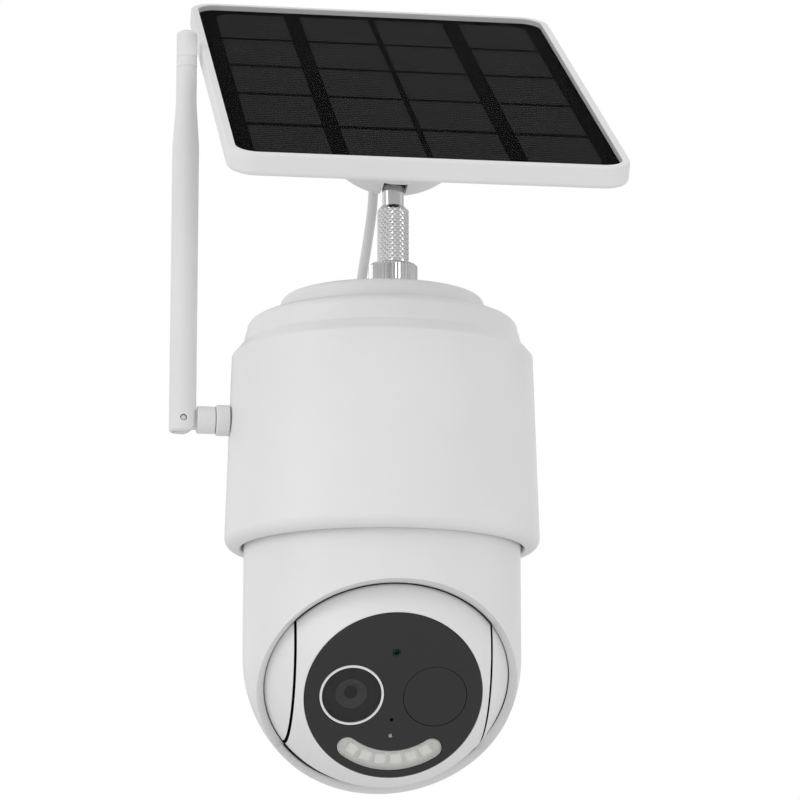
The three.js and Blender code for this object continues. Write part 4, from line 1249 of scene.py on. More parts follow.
class PanHousing(Assembly):
    """The turning lower half with the fixed parts of the ball at its sides."""

    sizes = HeadSizes()

    def build(self) -> None:
        """Builds the housing, its black ring of painted shade and the two side covers."""
        self.housing()
        self.painted_gap_shade()
        for side in Side:
            self.side_cover(side)

    def housing(self) -> None:
        """Builds the round-bottomed housing, its round seat and the rim of its opening."""
        s = self.sizes
        profile = [
            (0, s.pan_top),
            (s.pan_r - 0.4, s.pan_top),
            (s.pan_r, s.pan_top - 0.4),
            *arc(0, s.ball_z, s.pan_r, 0, -90, 56),
        ]
        obj = turned("pan_housing_shell", profile, 192)
        bore = cylinder("bore", s.pan_r - s.pan_wall, s.ball_z, s.pan_top + 1, sides=192)
        combine(bore, self.cone("rim", s.opening_rim))
        combine(obj, bore)
        combine(obj, bake(sphere("room", s.ball_r + 0.5), shift(0, 0, s.ball_z)))
        combine(obj, self.cone("opening", 0))
        self.hand_over(obj, self.places.body, "white_plastic", "pan_unit", "pan_housing", angle=24)
        middle = self.places.head.translation
        reach = (s.ball_r + 0.5) * MM
        # Painted shade: the faces of the round seat around the head are dressed black so that the gap reads
        # dark.
        paint_gap_shade(obj, self.library, lambda face: abs((face.center - middle).length - reach) < 0.0002)

    def painted_gap_shade(self) -> None:
        """Builds a thin black ring on the rim's edge where the head passes under it: painted shade for the
        dark gap there, not a real seal.
        """
        s = self.sizes
        # A dark ring of painted shade: it stands for the shade in the narrow gap between the rim and the
        # head.
        shade_ring = sphere("head_gap_shade_ring", s.ball_r + 1.0)
        combine(shade_ring, sphere("inside", s.ball_r + 0.2))
        bake(shade_ring, shift(0, 0, s.ball_z))
        combine(shade_ring, self.cone("outside", 0.3), "INTERSECT")
        combine(shade_ring, self.cone("clear", -s.shade_ring_width))
        reach = s.half_w + s.side_gap / 2
        band = block("band", (-reach, -90, -130), (reach, 90, 60))
        combine(shade_ring, band, "INTERSECT")
        self.hand_over(shade_ring, self.places.body, "rubber", "pan_unit")

    def cone(self, name: str, grow: float) -> bpy.types.Object:
        """Makes the cone that opens the housing towards the head's face.

        Args:
            name: The new object's name.
            grow: How much wider than the opening it is.

        Returns:
            The cone, placed in the housing.
        """
        s = self.sizes
        radius, start = s.opening_r + grow, s.opening_depth - grow / 2
        profile = [
            (0, start - 6),
            (radius, start - 6),
            (radius, start),
            (radius + s.pan_r, start + s.pan_r),
            (0, start + s.pan_r),
        ]
        widen = Matrix.Diagonal((s.opening_wide, 1, 1, 1))
        at = shift(0, 0, s.ball_z) @ turn("X", s.opening_pitch + 90) @ widen
        return bake(turned(name, profile, 192), at)

    def side_cover(self, side: Side) -> None:
        """Builds one fixed side of the ball.

        Args:
            side: Which side.
        """
        s = self.sizes
        inner = s.half_w + s.side_gap
        obj = sphere(f"side_cover_{side.name.lower()}_ball", s.ball_r)
        bake(obj, turn("Y", 90))
        slice_off(obj, (inner, 0, 0), (-1, 0, 0))
        soften(obj, 0.1, 2, 50)
        combine(obj, bake(cylinder("axle_room", s.axle_r + GAP, inner - 1, inner + 9.5), turn("Y", 90)))
        if side is Side.LEFT:
            combine(obj, bake(cylinder("gear_room", 21.5, inner - 1, inner + 6.5), turn("Y", 90)))
        if side is Side.LEFT:
            bake(obj, turn("Z", 180))
        bake(obj, shift(0, 0, s.ball_z))
        node = f"side_cover_{side.name.lower()}"
        self.hand_over(obj, self.places.body, "white_plastic", "pan_unit", node)
        # Painted shade: the flat side facing the gap beside the head is dressed black.
        paint_gap_shade(obj, self.library, flat_side(inner * MM))


def paint_gap_shade(
    obj: bpy.types.Object, library: Library, wanted: Callable[[bpy.types.MeshPolygon], bool]
) -> None:
    """Dresses the faces deep in a gap in black, as painted shade that makes the gap read dark.

    Args:
        obj: The piece.
        library: The finishes.
        wanted: Says yes or no to a face.
    """
    obj.data.materials.append(library.get("shadow_line"))
    for face in obj.data.polygons:
        if wanted(face):
            face.material_index = 1


def flat_side(distance: float) -> Callable[[bpy.types.MeshPolygon], bool]:
    """Gives the test for a flat side that faces the gap beside the head.

    Args:
        distance: From the middle to that side, either way, in metres.

    Returns:
        The test.
    """
    return lambda face: abs(abs(face.center.x) - distance) < 0.0001 and abs(face.normal.x) > 0.99


class Head(Assembly):
    """The tilting ball: its two shells and everything on its face."""

    sizes = HeadSizes()

    def build(self) -> None:
        """Builds the shells and the face."""
        self.shells()
        self.face_plate()
        self.lens()
        self.motion_window()
        self.lamp_window()

    def cheese(
        self, name: str, radius: float, half_w: float, front: float, back: float
    ) -> bpy.types.Object:
        """Makes a ball with flat sides, front and back.

        Args:
            name: The new object's name.
            radius: The ball's radius.
            half_w: Middle to each flat side.
            front: Middle to the front cut.
            back: Middle to the back cut.

        Returns:
            The closed solid.
        """
        obj = bake(sphere(name, radius), turn("X", 90))
        slice_off(obj, (half_w, 0, 0), (1, 0, 0))
        slice_off(obj, (-half_w, 0, 0), (-1, 0, 0))
        slice_off(obj, (0, -front, 0), (0, -1, 0))
        slice_off(obj, (0, back, 0), (0, 1, 0))
        return obj

    def shells(self) -> None:
        """Builds the hollow front and rear shells."""
        s = self.sizes
        plate_in = s.face - s.plate_t
        halves = (("head_shell_front", -s.ball_r, s.seam), ("head_shell_rear", s.seam + GAP, s.ball_r))
        for (name, low, high), node in zip(halves, ("head_front_shell", "head_rear_shell")):
            obj = self.cheese(name, s.ball_r, s.half_w, s.face - 0.4, s.back)
            soften(obj, 0.1, 2, 50)
            hollow = self.cheese(
                "hollow", s.ball_r - s.wall, s.half_w - s.wall, plate_in - 2.5, s.back - s.wall
            )
            combine(obj, hollow)
            seat = turned(
                "seat",
                [
                    (0, s.face - 12),
                    (s.plate_r - 2.7, s.face - 12),
                    (s.plate_r - 2.7, plate_in - GAP),
                    (s.plate_r + GAP, plate_in - GAP),
                    (s.plate_r + GAP, s.face + 2),
                    (0, s.face + 2),
                ],
            )
            combine(obj, bake(seat, turn("X", 90)))
            combine(obj, bake(cylinder("axle", s.axle_r + GAP, -s.ball_r, s.ball_r), turn("Y", 90)))
            motor = bake(cylinder("motor_hole", 2.6, -s.ball_r, -20), shift(0, 0, 14.4) @ turn("Y", 90))
            combine(obj, motor)
            room = s.ball_r + 1
            half = block("half", (-room, low, -room), (room, high, room))
            combine(obj, half, "INTERSECT")
            self.hand_over(obj, self.places.head, "white_plastic", "camera_head", node)
            # Painted shade: the flat sides facing the gaps beside the covers are dressed black.
            paint_gap_shade(obj, self.library, flat_side(s.half_w * MM))

    def smile(self, name: str, width: float, low: float, high: float) -> bpy.types.Object:
        """Makes the lamp window's curved slot shape with round ends.

        Args:
            name: The new object's name.
            width: Its width.
            low: Height of its underside.
            high: Height of its top.

        Returns:
            The closed solid, lying flat.
        """
        s = self.sizes
        start, end = -90 - s.smile_half, -90 + s.smile_half
        first = [s.smile_r * f(math.radians(start)) for f in (math.cos, math.sin)]
        last = [s.smile_r * f(math.radians(end)) for f in (math.cos, math.sin)]
        outline = [
            *arc(0, 0, s.smile_r + width / 2, start, end, 32),
            *arc(*last, width / 2, end, end + 180, 14)[1:-1],
            *arc(0, 0, s.smile_r - width / 2, end, start, 32),
            *arc(*first, width / 2, start + 180, start + 360, 14)[1:-1],
        ]
        return prism(name, outline, low, high)

    def face_plate(self) -> None:
        """Builds the dark plate with all its holes."""
        s = self.sizes
        low, high = s.face - s.plate_t, s.face
        obj = cylinder("face_plate_disc", s.plate_r, low, high, 0.25, FINE)
        for radius, x in ((s.lens_ring_r + GAP, -s.lens_x), (s.motion_r + 0.2, s.lens_x)):
            combine(obj, bake(cylinder("hole", radius, low - 1, high + 1, sides=FINE), shift(x, 0, 0)))
        combine(obj, self.smile("smile_hole", s.smile_w + 2 * GAP, low - 1, high + 1))
        countersink = [(0, low - 1), (1.2, low - 1), (1.2, high - 0.9), (2.1, high + 0.1), (0, high + 0.1)]
        combine(obj, bake(turned("daylight", countersink, MEDIUM), shift(0, s.daylight_y, 0)))
        combine(obj, bake(cylinder("mic", 0.8, low - 1, high + 1), shift(0, s.mic_y, 0)))
        combine(obj, bake(cylinder("status", 1.2, low - 1, high + 1), shift(0, s.status_y, 0)))
        self.hand_over(obj, self.places.face, "dark_face", "camera_head", "face_plate")

    def lens(self) -> None:
        """Builds the white ring, the smoked cover, the barrel and the lens glass."""
        s = self.sizes
        at = self.places.face @ shift(-s.lens_x, 0, 0)
        low, high = s.face - s.plate_t, s.face
        ring_in = s.lens_ring_r - s.lens_ring_w
        ring = tube("lens_ring_white", s.lens_ring_r, ring_in, low, high, 0.12, FINE)
        self.hand_over(ring, at, "white_plastic", "camera_head", "lens_ring")
        cover = cylinder("lens_cover_smoked", ring_in - GAP / 2, high - 1.2, high - 0.2, 0.1, FINE)
        self.hand_over(cover, at, "smoked_window", "camera_head", "lens_cover")
        baffle = tube("lens_baffle_ring", ring_in - GAP, s.lens_r + 0.1, high - 2.2, high - 1.5)
        self.hand_over(baffle, at, "lens_baffle", "camera_head")
        front = high - 1.5
        glass_at = high - 4.5
        barrel = turned(
            "lens_barrel_stepped",
            [
                (0, front - 16.5),
                (s.lens_r - 0.4, front - 16.5),
                (s.lens_r, front - 16.1),
                (s.lens_r, front - 0.3),
                (s.lens_r - 0.3, front),
                (s.lens_r - 0.8, front),
                (s.lens_r - 1.4, front - 0.9),
                (s.lens_r - 1.7, front - 0.9),
                (s.pupil_r + 0.9, glass_at + 0.9),
                (s.pupil_r + 0.3, glass_at + 0.9),
                (s.pupil_r + 0.3, glass_at),
                (0, glass_at),
            ],
            MEDIUM,
        )
        self.hand_over(barrel, at, "lens_metal", "camera_head", "lens_barrel")
        dome_r = 4.2
        rise = math.degrees(math.asin(s.pupil_r / dome_r))
        foot = glass_at + GAP
        centre = foot + 1.2 - dome_r * math.cos(math.radians(rise))
        dome = turned(
            "lens_glass_dome",
            [(0, foot), (s.pupil_r, foot), *arc(0, centre, dome_r, 90 - rise, 90, 10)],
            MEDIUM,
        )
        self.hand_over(dome, at, "lens_glass", "camera_head", "lens_glass")

    def motion_window(self) -> None:
        """Builds the motion sensor's window, almost flush with the plate."""
        s = self.sizes
        obj = cylinder("motion_window_disc", s.motion_r, s.face - s.plate_t, s.face - 0.05, 0.15, FINE)
        at = self.places.face @ shift(s.lens_x, 0, 0)
        self.hand_over(obj, at, "dark_face", "camera_head", "motion_window")

    def lamp_window(self) -> None:
        """Builds the milky window and the row of lamps just behind it."""
        s = self.sizes
        low, high = s.face - s.plate_t, s.face - 0.1
        window = self.smile("lamp_window_milky", s.smile_w, low + 1.2, high)
        soften(window, 0.15, 2, 60)
        self.hand_over(window, self.places.face, "lamp_diffuser", "camera_head", "lamp_window")
        tray = self.smile("lamp_tray", s.smile_w - 0.4, low - 1.4, low - 0.4)
        soften(tray, 0.15, 2, 60)
        self.hand_over(tray, self.places.face, "inner_plastic", "camera_head")
        first = block("lamp_0", (-2.4, -2.4, low - 0.3), (2.4, 2.4, low + 0.9))
        soften(first, 0.5, 3)
        for i in range(6):
            angle = -90 - 0.86 * s.smile_half + 1.72 * s.smile_half * i / 5
            lamp = first
            if i < 5:
                lamp = first.copy()
                lamp.data = first.data.copy()
                bpy.context.collection.objects.link(lamp)
            lamp.name = f"lamp_block_{i + 1}"
            at = self.places.face @ turn("Z", angle) @ shift(s.smile_r, 0, 0)
            self.hand_over(lamp, at, "lamp_block", "camera_head")


# ---------- antenna ----------
@dataclass
class AntennaSizes:
    """Sizes of the stick antenna, in millimetres from its hinge pin."""

    rod_r: float = 5.9
    tip_r: float = 4.55
    length: float = 182.0
    below: float = 5.6
    stub_r: float = 6.0
    stub_end: float = 14.07
    nut_r: float = 6.8
    nut_low: float = 14.37
    nut_high: float = 20.37
    tongue_t: float = 4.0
    tongue_r: float = 4.2
    grooves: tuple[float, ...] = (158.8, 163.5)
    groove_depth: float = 0.3
    end_round: float = 2.6


class Antenna(Assembly):
    """The stick antenna, its knuckle and the collar on the housing."""

    sizes = AntennaSizes()

    def build(self) -> None:
        """Builds the collar, the knuckle, the rod and the pin."""
        self.collar()
        self.knuckle()
        self.rod()
        self.pin()

    def collar(self) -> None:
        """Builds the smooth collar against the housing with its threaded end."""
        s = self.sizes
        profile = [
            (2.0, s.nut_low),
            (s.nut_r - 0.6, s.nut_low),
            (s.nut_r, s.nut_low + 0.6),
            (s.nut_r, s.nut_high - 0.3),
            (s.nut_r - 0.3, s.nut_high),
            (3.2, s.nut_high),
            (3.2, s.nut_high + 7.8),
            (0, s.nut_high + 7.8),
            (0, s.nut_low + 3),
            (2.0, s.nut_low + 3),
            (2.0, s.nut_low),
        ]
        obj = bake(turned("antenna_collar", profile, MEDIUM), turn("Y", 90))
        self.hand_over(obj, self.places.antenna, "antenna_white", "root", "antenna_socket")

    def knuckle(self) -> None:
        """Builds the stub with its flat tongue."""
        s = self.sizes
        start = s.rod_r + GAP
        profile = [
            (0, start),
            (s.stub_r - 0.4, start),
            (s.stub_r, start + 0.4),
            (s.stub_r, s.stub_end - 0.3),
            (s.stub_r - 0.3, s.stub_end),
            (1.7, s.stub_end),
            (1.7, s.stub_end + 2.3),
            (0, s.stub_end + 2.3),
        ]
        obj = bake(turned("antenna_knuckle_stub", profile, MEDIUM), turn("Y", 90))
        half = s.tongue_t / 2
        tongue = bake(cylinder("tongue", s.tongue_r, -half, half), turn("X", 90))
        combine(tongue, block("root", (0, -half, -s.tongue_r), (start + 1, half, s.tongue_r)), "UNION")
        combine(obj, tongue, "UNION")
        combine(obj, bake(cylinder("pin_hole", 1.5, -10, 10), turn("X", 90)))
        self.hand_over(obj, self.places.antenna, "antenna_white", "antenna_base", "antenna_knuckle")

    def rod(self) -> None:
        """Builds the tapered rod with its two grooves and forked foot."""
        s = self.sizes
        top = s.length - s.below
        grooves = []
        for z in s.grooves:
            grooves += [
                (s.tip_r, z - 0.45),
                (s.tip_r - s.groove_depth, z - 0.2),
                (s.tip_r - s.groove_depth, z + 0.2),
                (s.tip_r, z + 0.45),
            ]
        end = [
            (s.tip_r * math.cos(t), top - s.end_round + s.end_round * math.sin(t))
            for t in (math.pi / 2 * i / 10 for i in range(1, 11))
        ]
        profile = [
            (0, -s.below),
            (s.rod_r - 0.6, -s.below),
            (s.rod_r, -s.below + 0.6),
            (s.rod_r, s.length * 0.68 - 1),
            (s.rod_r - 0.05, s.length * 0.68),
            (s.tip_r + 0.05, s.length * 0.78),
            (s.tip_r, s.length * 0.78 + 1),
            *grooves,
            (s.tip_r, top - s.end_round),
            *end,
        ]
        obj = turned("antenna_stick", profile, MEDIUM)
        half = s.tongue_t / 2 + GAP
        combine(obj, block("fork", (-s.tongue_r - GAP, -half, -20), (20, half, s.tongue_r + 1.5)))
        corner = block("corner", (0, -10, -20), (20, 10, 0))
        combine(corner, bake(cylinder("swing", s.below, -12, 12), turn("X", 90)))
        combine(obj, corner)
        combine(obj, bake(cylinder("pin_hole", 1.5, -10, 10), turn("X", 90)))
        self.hand_over(obj, self.places.antenna, "antenna_white", "antenna", "antenna_rod")

    def pin(self) -> None:
        """Builds the hinge pin with domed ends."""
        s = self.sizes
        end = s.rod_r - 1.2
        profile = [(0, -end), (0.9, -end), (1.2, -end + 0.3), (1.2, end - 0.3), (0.9, end), (0, end)]
        obj = bake(turned("antenna_hinge_pin", profile, 32), turn("X", 90))
        self.hand_over(obj, self.places.antenna, "antenna_white", "antenna_base", "antenna_pin")


# ---------- post ----------
@dataclass
class PostSizes:
    """Sizes of the post under the panel, in millimetres from the panel's pivot."""

    foot: float = -78.7
    stem_r: float = 4.8
    sleeve_r: float = 6.9
    sleeve_l: float = 25.8
    ring_r: float = 10.7
    ring_h: float = 9.4
    stud_r: float = 3.17
    stud_l: float = 10.0
    thread_pitch: float = 1.27
    thread_depth: float = 0.45
    thread_turns: int = 7
    eye_r: float = 6.5
    eye_t: float = 8.0
    pin_r: float = 2.5
    sleeve_columns: int = 40
    sleeve_rows: int = 20
    ring_teeth: int = 40


class Post(Assembly):
    """The plated post: a smooth stem, a knurled sleeve and a knurled lock ring."""

    sizes = PostSizes()

    def build(self) -> None:
        """Builds the stem, the sleeve, the lock ring and the panel's pivot pin."""
        self.stem()
        self.sleeve()
        self.lock_ring()
        self.pivot_pin()

    def stem(self) -> None:
        """Builds the stem with its threaded stud below and its eye above."""
        s = self.sizes
        shank = -s.eye_r - 1
        thread = []
        pitch = s.thread_pitch
        root_r = s.stud_r - s.thread_depth
        for i in range(s.thread_turns):
            z = s.foot - s.stud_l + 0.6 + i * pitch
            thread += [(root_r, z), (s.stud_r, z + 0.4 * pitch), (root_r, z + 0.8 * pitch)]
        profile = [
            (0, s.foot - s.stud_l),
            *thread,
            (root_r, s.foot + 1),
            (s.stem_r - 0.3, s.foot + 1),
            (s.stem_r, s.foot + 1.3),
            (s.stem_r, shank - 0.5),
            (s.stem_r - 0.5, shank),
            (0, shank),
        ]
        obj = turned("post_stem_turned", profile, MEDIUM)
        half = s.eye_t / 2
        flat = soften(block("flat", (-half, -half, shank - 1), (half, half, 0)), 0.5, 3)
        combine(obj, flat, "UNION")
        eye = bake(cylinder("eye", s.eye_r, -half, half, 0.4), turn("Y", 90))
        combine(obj, eye, "UNION")
        combine(obj, bake(cylinder("eye_hole", s.pin_r + GAP, -10, 10), turn("Y", 90)))
        self.hand_over(obj, self.places.post, "nickel", "panel_post", "post_stem")

    def sleeve(self) -> None:
        """Builds the sleeve with a diamond knurl: every other point raised, with ridges between those."""
        s = self.sizes
        low = s.foot + s.ring_h + GAP
        high = low + s.sleeve_l
        bore = s.stem_r + GAP
        start, end = low + 0.6, high - 2.0
        step = (end - start) / s.sleeve_rows
        rows = [(s.sleeve_r - 0.4, start + step * i) for i in range(s.sleeve_rows + 1)]
        profile = [
            (bore, low),
            (s.sleeve_r - 0.5, low),
            *rows,
            (s.sleeve_r - 0.4, high - 1.5),
            (s.sleeve_r - 1.6, high - 0.2),
            (s.sleeve_r - 1.8, high),
            (bore, high),
            (bore, low),
        ]
        obj = turned("post_sleeve_knurled", profile, s.sleeve_columns)

        def raised(point: Vector) -> bool:
            """Says whether a point is on an even square of the grid."""
            if abs(point.xy.length - rows[0][0]) > 0.02 or not start - 0.01 < point.z < end + 0.01:
                return False
            column = round(math.atan2(point.y, point.x) / (2 * math.pi) * s.sleeve_columns)
            return (column + round((point.z - start) / step)) % 2 == 0

        self.swell(obj, raised, s.sleeve_r / rows[0][0])
        edit(obj)
        bpy.ops.mesh.quads_convert_to_tris(quad_method="LONGEST_DIAGONAL")
        close_edit()
        self.hand_over(obj, self.places.post, "nickel", "panel_post", "post_sleeve", angle=12)

    def lock_ring(self) -> None:
        """Builds the lock ring and sinks every other column as a straight knurl."""
        s = self.sizes
        top = s.foot + s.ring_h
        columns = 2 * s.ring_teeth
        profile = [
            (s.stem_r + GAP, s.foot),
            (s.ring_r - 0.9, s.foot),
            (s.ring_r - 0.7, s.foot + 0.4),
            (s.ring_r - 0.7, s.foot + 1.1),
            (s.ring_r - 0.7, top - 1.1),
            (s.ring_r - 0.7, top - 0.4),
            (s.ring_r - 1.1, top),
            (s.stem_r + GAP, top),
            (s.stem_r + GAP, s.foot),
        ]
        obj = turned("lock_ring_knurled", profile, columns)

        def raised(point: Vector) -> bool:
            """Says whether a point is on an even column of the rim."""
            on_rim = abs(point.xy.length - (s.ring_r - 0.7)) < 0.02 and s.foot + 1 < point.z < top - 1
            column = round(math.atan2(point.y, point.x) / (2 * math.pi) * columns)
            return on_rim and column % 2 == 0

        self.swell(obj, raised, s.ring_r / (s.ring_r - 0.7))
        self.hand_over(obj, self.places.post, "nickel", "lock_ring", "lock_ring", angle=12)

    def swell(self, obj: bpy.types.Object, wanted: Callable[[Vector], bool], share: float) -> None:
        """Moves the chosen points out from the axis.

        Args:
            obj: A turned piece.
            wanted: Says yes or no to a point.
            share: New radius over old.
        """
        activate(obj)
        for group in (obj.data.vertices, obj.data.edges, obj.data.polygons):
            for element in group:
                element.select = False
        for v in obj.data.vertices:
            v.select = wanted(v.co)
        bpy.ops.object.mode_set(mode="EDIT")
        bpy.ops.transform.resize(value=(share, share, 1), center_override=(0, 0, 0))
        bpy.ops.object.mode_set(mode="OBJECT")

    def pivot_pin(self) -> None:
        """Builds the pin through the eye and the panel's ears, with a domed slotted head."""
        s = self.sizes
        half = s.eye_t / 2 + 0.5 + 3 + 1
        head = s.pin_r + 1.8
        profile = [
            (0, -half),
            (s.pin_r - 0.3, -half),
            (s.pin_r, -half + 0.3),
            (s.pin_r, half),
            (head, half),
            *arc(head - 0.9, half + 1.5, 0.9, 0, 90, 6),
            (0, half + 2.4),
        ]
        obj = turned("tilt_pin_turned", profile, MEDIUM)
        combine(obj, block("slot", (-0.5, -6, half + 1.6), (0.5, 6, half + 3)))
        bake(obj, turn("Y", 90))
        self.hand_over(obj, self.places.post, "steel", "solar_panel", "tilt_pin")


# ---------- solar panel ----------
@dataclass
class PanelSizes:
    """Sizes of the solar panel, in millimetres from its pivot, Z out of the glass.

    Column and row limits of the cells are from the glass's left edge and from its upper edge.
    """

    shift_x: float = 1.4
    glass_w: float = 160.4
    glass_d: float = 229.6
    glass_t: float = 1.8
    corner: float = 9.0
    bezel: float = 3.6
    frame_t: float = 9.8
    rise: float = 14.1
    ledge: float = 4.0
    back_t: float = 2.5
    edge_round: float = 2.5
    hub_r: float = 37.0
    hub_wall: float = 2.5
    slot_half: float = 5.3
    cable_hole_r: float = 2.5
    ear_r: float = 6.5
    ear_in: float = 4.5
    ear_out: float = 7.5
    pin_hole_r: float = 2.8
    rib_places: tuple[float, ...] = (-80, -55, 55, 80)
    screw_x: float = 68.0
    screw_y: float = 102.0
    travel_up: float = 32.0
    travel_down: float = 6.0
    cable_x: float = -4.0
    cable_y: float = 15.0
    columns: tuple = ((7.8, 39.7), (47.0, 79.1), (81.9, 113.7), (121.5, 152.9))
    rows: tuple = ((6.4, 46.9), (51.0, 91.5), (94.8, 135.2), (138.9, 180.8), (184.5, 224.9))
    corner_cut: float = 8.0

    @property
    def frame_top(self) -> float:
        """Top of the frame's rim."""
        return self.rise + 0.2

    @property
    def frame_low(self) -> float:
        """Underside of the frame."""
        return self.frame_top - self.frame_t

    @property
    def sheet_top(self) -> float:
        """Top of the cell sheet."""
        return self.rise - self.glass_t - GAP


class SolarPanel(Assembly):
    """The framed panel with its cells, back, ears and round hub."""

    sizes = PanelSizes()

    def build(self) -> None:
        """Builds every piece of the panel."""
        self.frame()
        self.glass()
        self.cells()
        self.back()
        self.hub()

    def frame(self) -> None:
        """Builds the rim with its rounded lower edge and the ledge for the glass."""
        s = self.sizes
        width, depth = s.glass_w + 2 * s.bezel, s.glass_d + 2 * s.bezel
        obj = slab("panel_frame_rim", width, depth, s.corner + s.bezel, s.frame_low, s.frame_top)
        low = s.frame_low
        select_edges(obj, lambda a, b: abs(a.z - low) < 1e-3 and abs(b.z - low) < 1e-3)
        bpy.ops.mesh.bevel(offset=s.edge_round, segments=6, affect="EDGES")
        bpy.context.tool_settings.mesh_select_mode = (True, False, False)
        close_edit()
        soften(obj, 0.6, 3, 60)
        seat_low = s.sheet_top - 0.4 - GAP
        seat_w, seat_d = s.glass_w + 2 * GAP, s.glass_d + 2 * GAP
        seat = slab("seat", seat_w, seat_d, s.corner + GAP, seat_low, s.frame_top + 1)
        combine(obj, seat)
        hole_w, hole_d = s.glass_w - 2 * s.ledge, s.glass_d - 2 * s.ledge
        hole = slab("hole", hole_w, hole_d, s.corner - s.ledge, s.frame_low - 1, s.frame_top + 1)
        combine(obj, hole)
        self.hand_over(obj, self.places.panel, "white_plastic", "solar_panel", "panel_frame")

    def glass(self) -> None:
        """Builds the glass with its ground edge."""
        s = self.sizes
        obj = slab("panel_glass_sheet", s.glass_w, s.glass_d, s.corner, s.rise - s.glass_t, s.rise)
        soften(obj, 0.25, 2, 60)
        self.hand_over(obj, self.places.panel, "panel_glass", "solar_panel", "panel_glass")

    def cells(self) -> None:
        """Builds the black backing sheet and the cells on it."""
        s = self.sizes
        backing = slab("cell_backing_sheet", s.glass_w, s.glass_d, s.corner, s.sheet_top - 0.4, s.sheet_top)
        soften(backing, 0.1, 1, 60)
        self.hand_over(backing, self.places.panel, "cell_backing", "solar_panel", "cell_sheet")
        for i, (left, right) in enumerate(s.columns):
            for j, (upper, lower) in enumerate(s.rows):
                cell = self.cell(i, j, left, right, upper, lower)
                self.hand_over(cell, self.places.panel, "solar_cell", "solar_panel")

    def cell(
        self, i: int, j: int, left: float, right: float, upper: float, lower: float
    ) -> bpy.types.Object:
        """Builds one cell, with a cut corner if it is at a corner of the panel.

        Args:
            i: Column number.
            j: Row number, from the upper edge.
            left: Left edge.
            right: Right edge.
            upper: Upper edge.
            lower: Lower edge.

        Returns:
            A thin plate.
        """
        s = self.sizes
        x0, x1 = left - s.glass_w / 2, right - s.glass_w / 2
        y0, y1 = s.glass_d / 2 - lower, s.glass_d / 2 - upper
        corners = [(x0, y0), (x1, y0), (x1, y1), (x0, y1)]
        at_corner = {(0, 4): 0, (3, 4): 1, (3, 0): 2, (0, 0): 3}.get((i, j))
        outline: Points = []
        for k, (x, y) in enumerate(corners):
            size = s.corner_cut if k == at_corner else 0.5
            cx = x + size * (1 if x == x0 else -1)
            cy = y + size * (1 if y == y0 else -1)
            outline += arc(cx, cy, size, 180 + 90 * k, 270 + 90 * k, 8)
        cell = prism(f"solar_cell_{i + 1}_{j + 1}", outline, s.sheet_top, s.sheet_top + 0.12)
        return soften(cell, 0.05, 1, 60)

    def back(self) -> None:
        """Builds the back cover with stiffening ribs and the hinge ears."""
        s = self.sizes
        width = s.glass_w - 2 * s.ledge - 2 * GAP
        depth = s.glass_d - 2 * s.ledge - 2 * GAP
        corner = s.corner - s.ledge - GAP
        obj = slab("panel_back_cover", width, depth, corner, s.frame_low, s.frame_low + s.back_t)
        soften(obj, 0.3, 2, 60)
        for side in Side:
            ear = bake(cylinder("ear", s.ear_r, s.ear_in, s.ear_out), turn("Y", 90 * side.value))
            ends = sorted((s.ear_in * side.value, s.ear_out * side.value))
            web = block("web", (ends[0], -s.ear_r, 0), (ends[1], s.ear_r, s.frame_low + 1))
            combine(ear, web, "UNION")
            combine(obj, bake(ear, shift(-s.shift_x, 0, 0)), "UNION")
        pin_room = bake(cylinder("pin_room", s.pin_hole_r, -20, 20), turn("Y", 90))
        combine(obj, pin_room)
        eye_room = block(
            "eye_room",
            (-s.ear_in - s.shift_x, -s.ear_out, s.frame_low - 1),
            (s.ear_in - s.shift_x, s.ear_out, s.frame_low + s.back_t + 1),
        )
        combine(obj, eye_room)
        for y in s.rib_places:
            groove = slab("groove", 110, 3, 1.4, s.frame_low - 1, s.frame_low + 0.6)
            combine(obj, bake(groove, shift(0, y, 0)))
        for x in (-s.screw_x, s.screw_x):
            for y in (-s.screw_y, 0, s.screw_y):
                sink = cylinder("sink", 2.6, s.frame_low - 1, s.frame_low + 1.2)
                combine(obj, bake(sink, shift(x, y, 0)))
        self.hand_over(obj, self.places.panel, "white_plastic", "solar_panel", "panel_back")

    def hub(self) -> None:
        """Builds the round hub with a slot for the post's travel and the cable's hole."""
        s = self.sizes
        top = s.frame_low - GAP
        rim = math.degrees(math.asin(top / s.hub_r))
        inner = s.hub_r - s.hub_wall
        inner_rim = math.degrees(math.asin(top / inner))
        profile = [*arc(0, 0, s.hub_r, -90, rim, 48), *arc(0, 0, inner, inner_rim, -90, 48)]
        obj = turned("panel_hub_dome", profile, FINE)
        stem_angle = math.degrees(math.asin(s.slot_half / s.hub_r))
        first = PANEL_PITCH - s.travel_up - 1 - stem_angle
        last = PANEL_PITCH + s.travel_down + 1 + stem_angle
        far = s.hub_r + 9
        wedge = [(0.0, 0.0)]
        for angle in (math.radians(first), math.radians(last)):
            wedge.append((far * math.sin(angle), -far * math.cos(angle)))
        tool = prism("travel", wedge, -s.slot_half, s.slot_half)
        standing = Matrix(((0, 0, -1, -s.shift_x), (-1, 0, 0, 0), (0, 1, 0, 0), (0, 0, 0, 1)))
        combine(obj, bake(tool, standing))
        hole = cylinder("cable_hole", s.cable_hole_r, -s.hub_r, -s.hub_r + 16)
        combine(obj, bake(hole, shift(s.cable_x - s.shift_x, s.cable_y, 0)))
        self.hand_over(obj, self.places.panel, "white_plastic", "solar_panel", "panel_hub")


# ---------- cable ----------
@dataclass
class CableSizes:
    """The short lead from the panel's hub to the gland, held at both ends, in millimetres.

    The route's points are from the panel's pivot, upright.
    """

    radius: float = 2.2
    route: tuple = (
        (-4.0, 26.89, -14.46),
        (-4.0, 29.56, -18.69),
        (-4.0, 32.23, -22.91),
        (-4.6, 33.6, -36.0),
        (-6.4, 34.2, -50.0),
        (-8.8, 34.8, -66.0),
        (-10.0, 35.1, -75.0),
        (-10.0, 35.1, -82.0),
    )
    split: int = 4


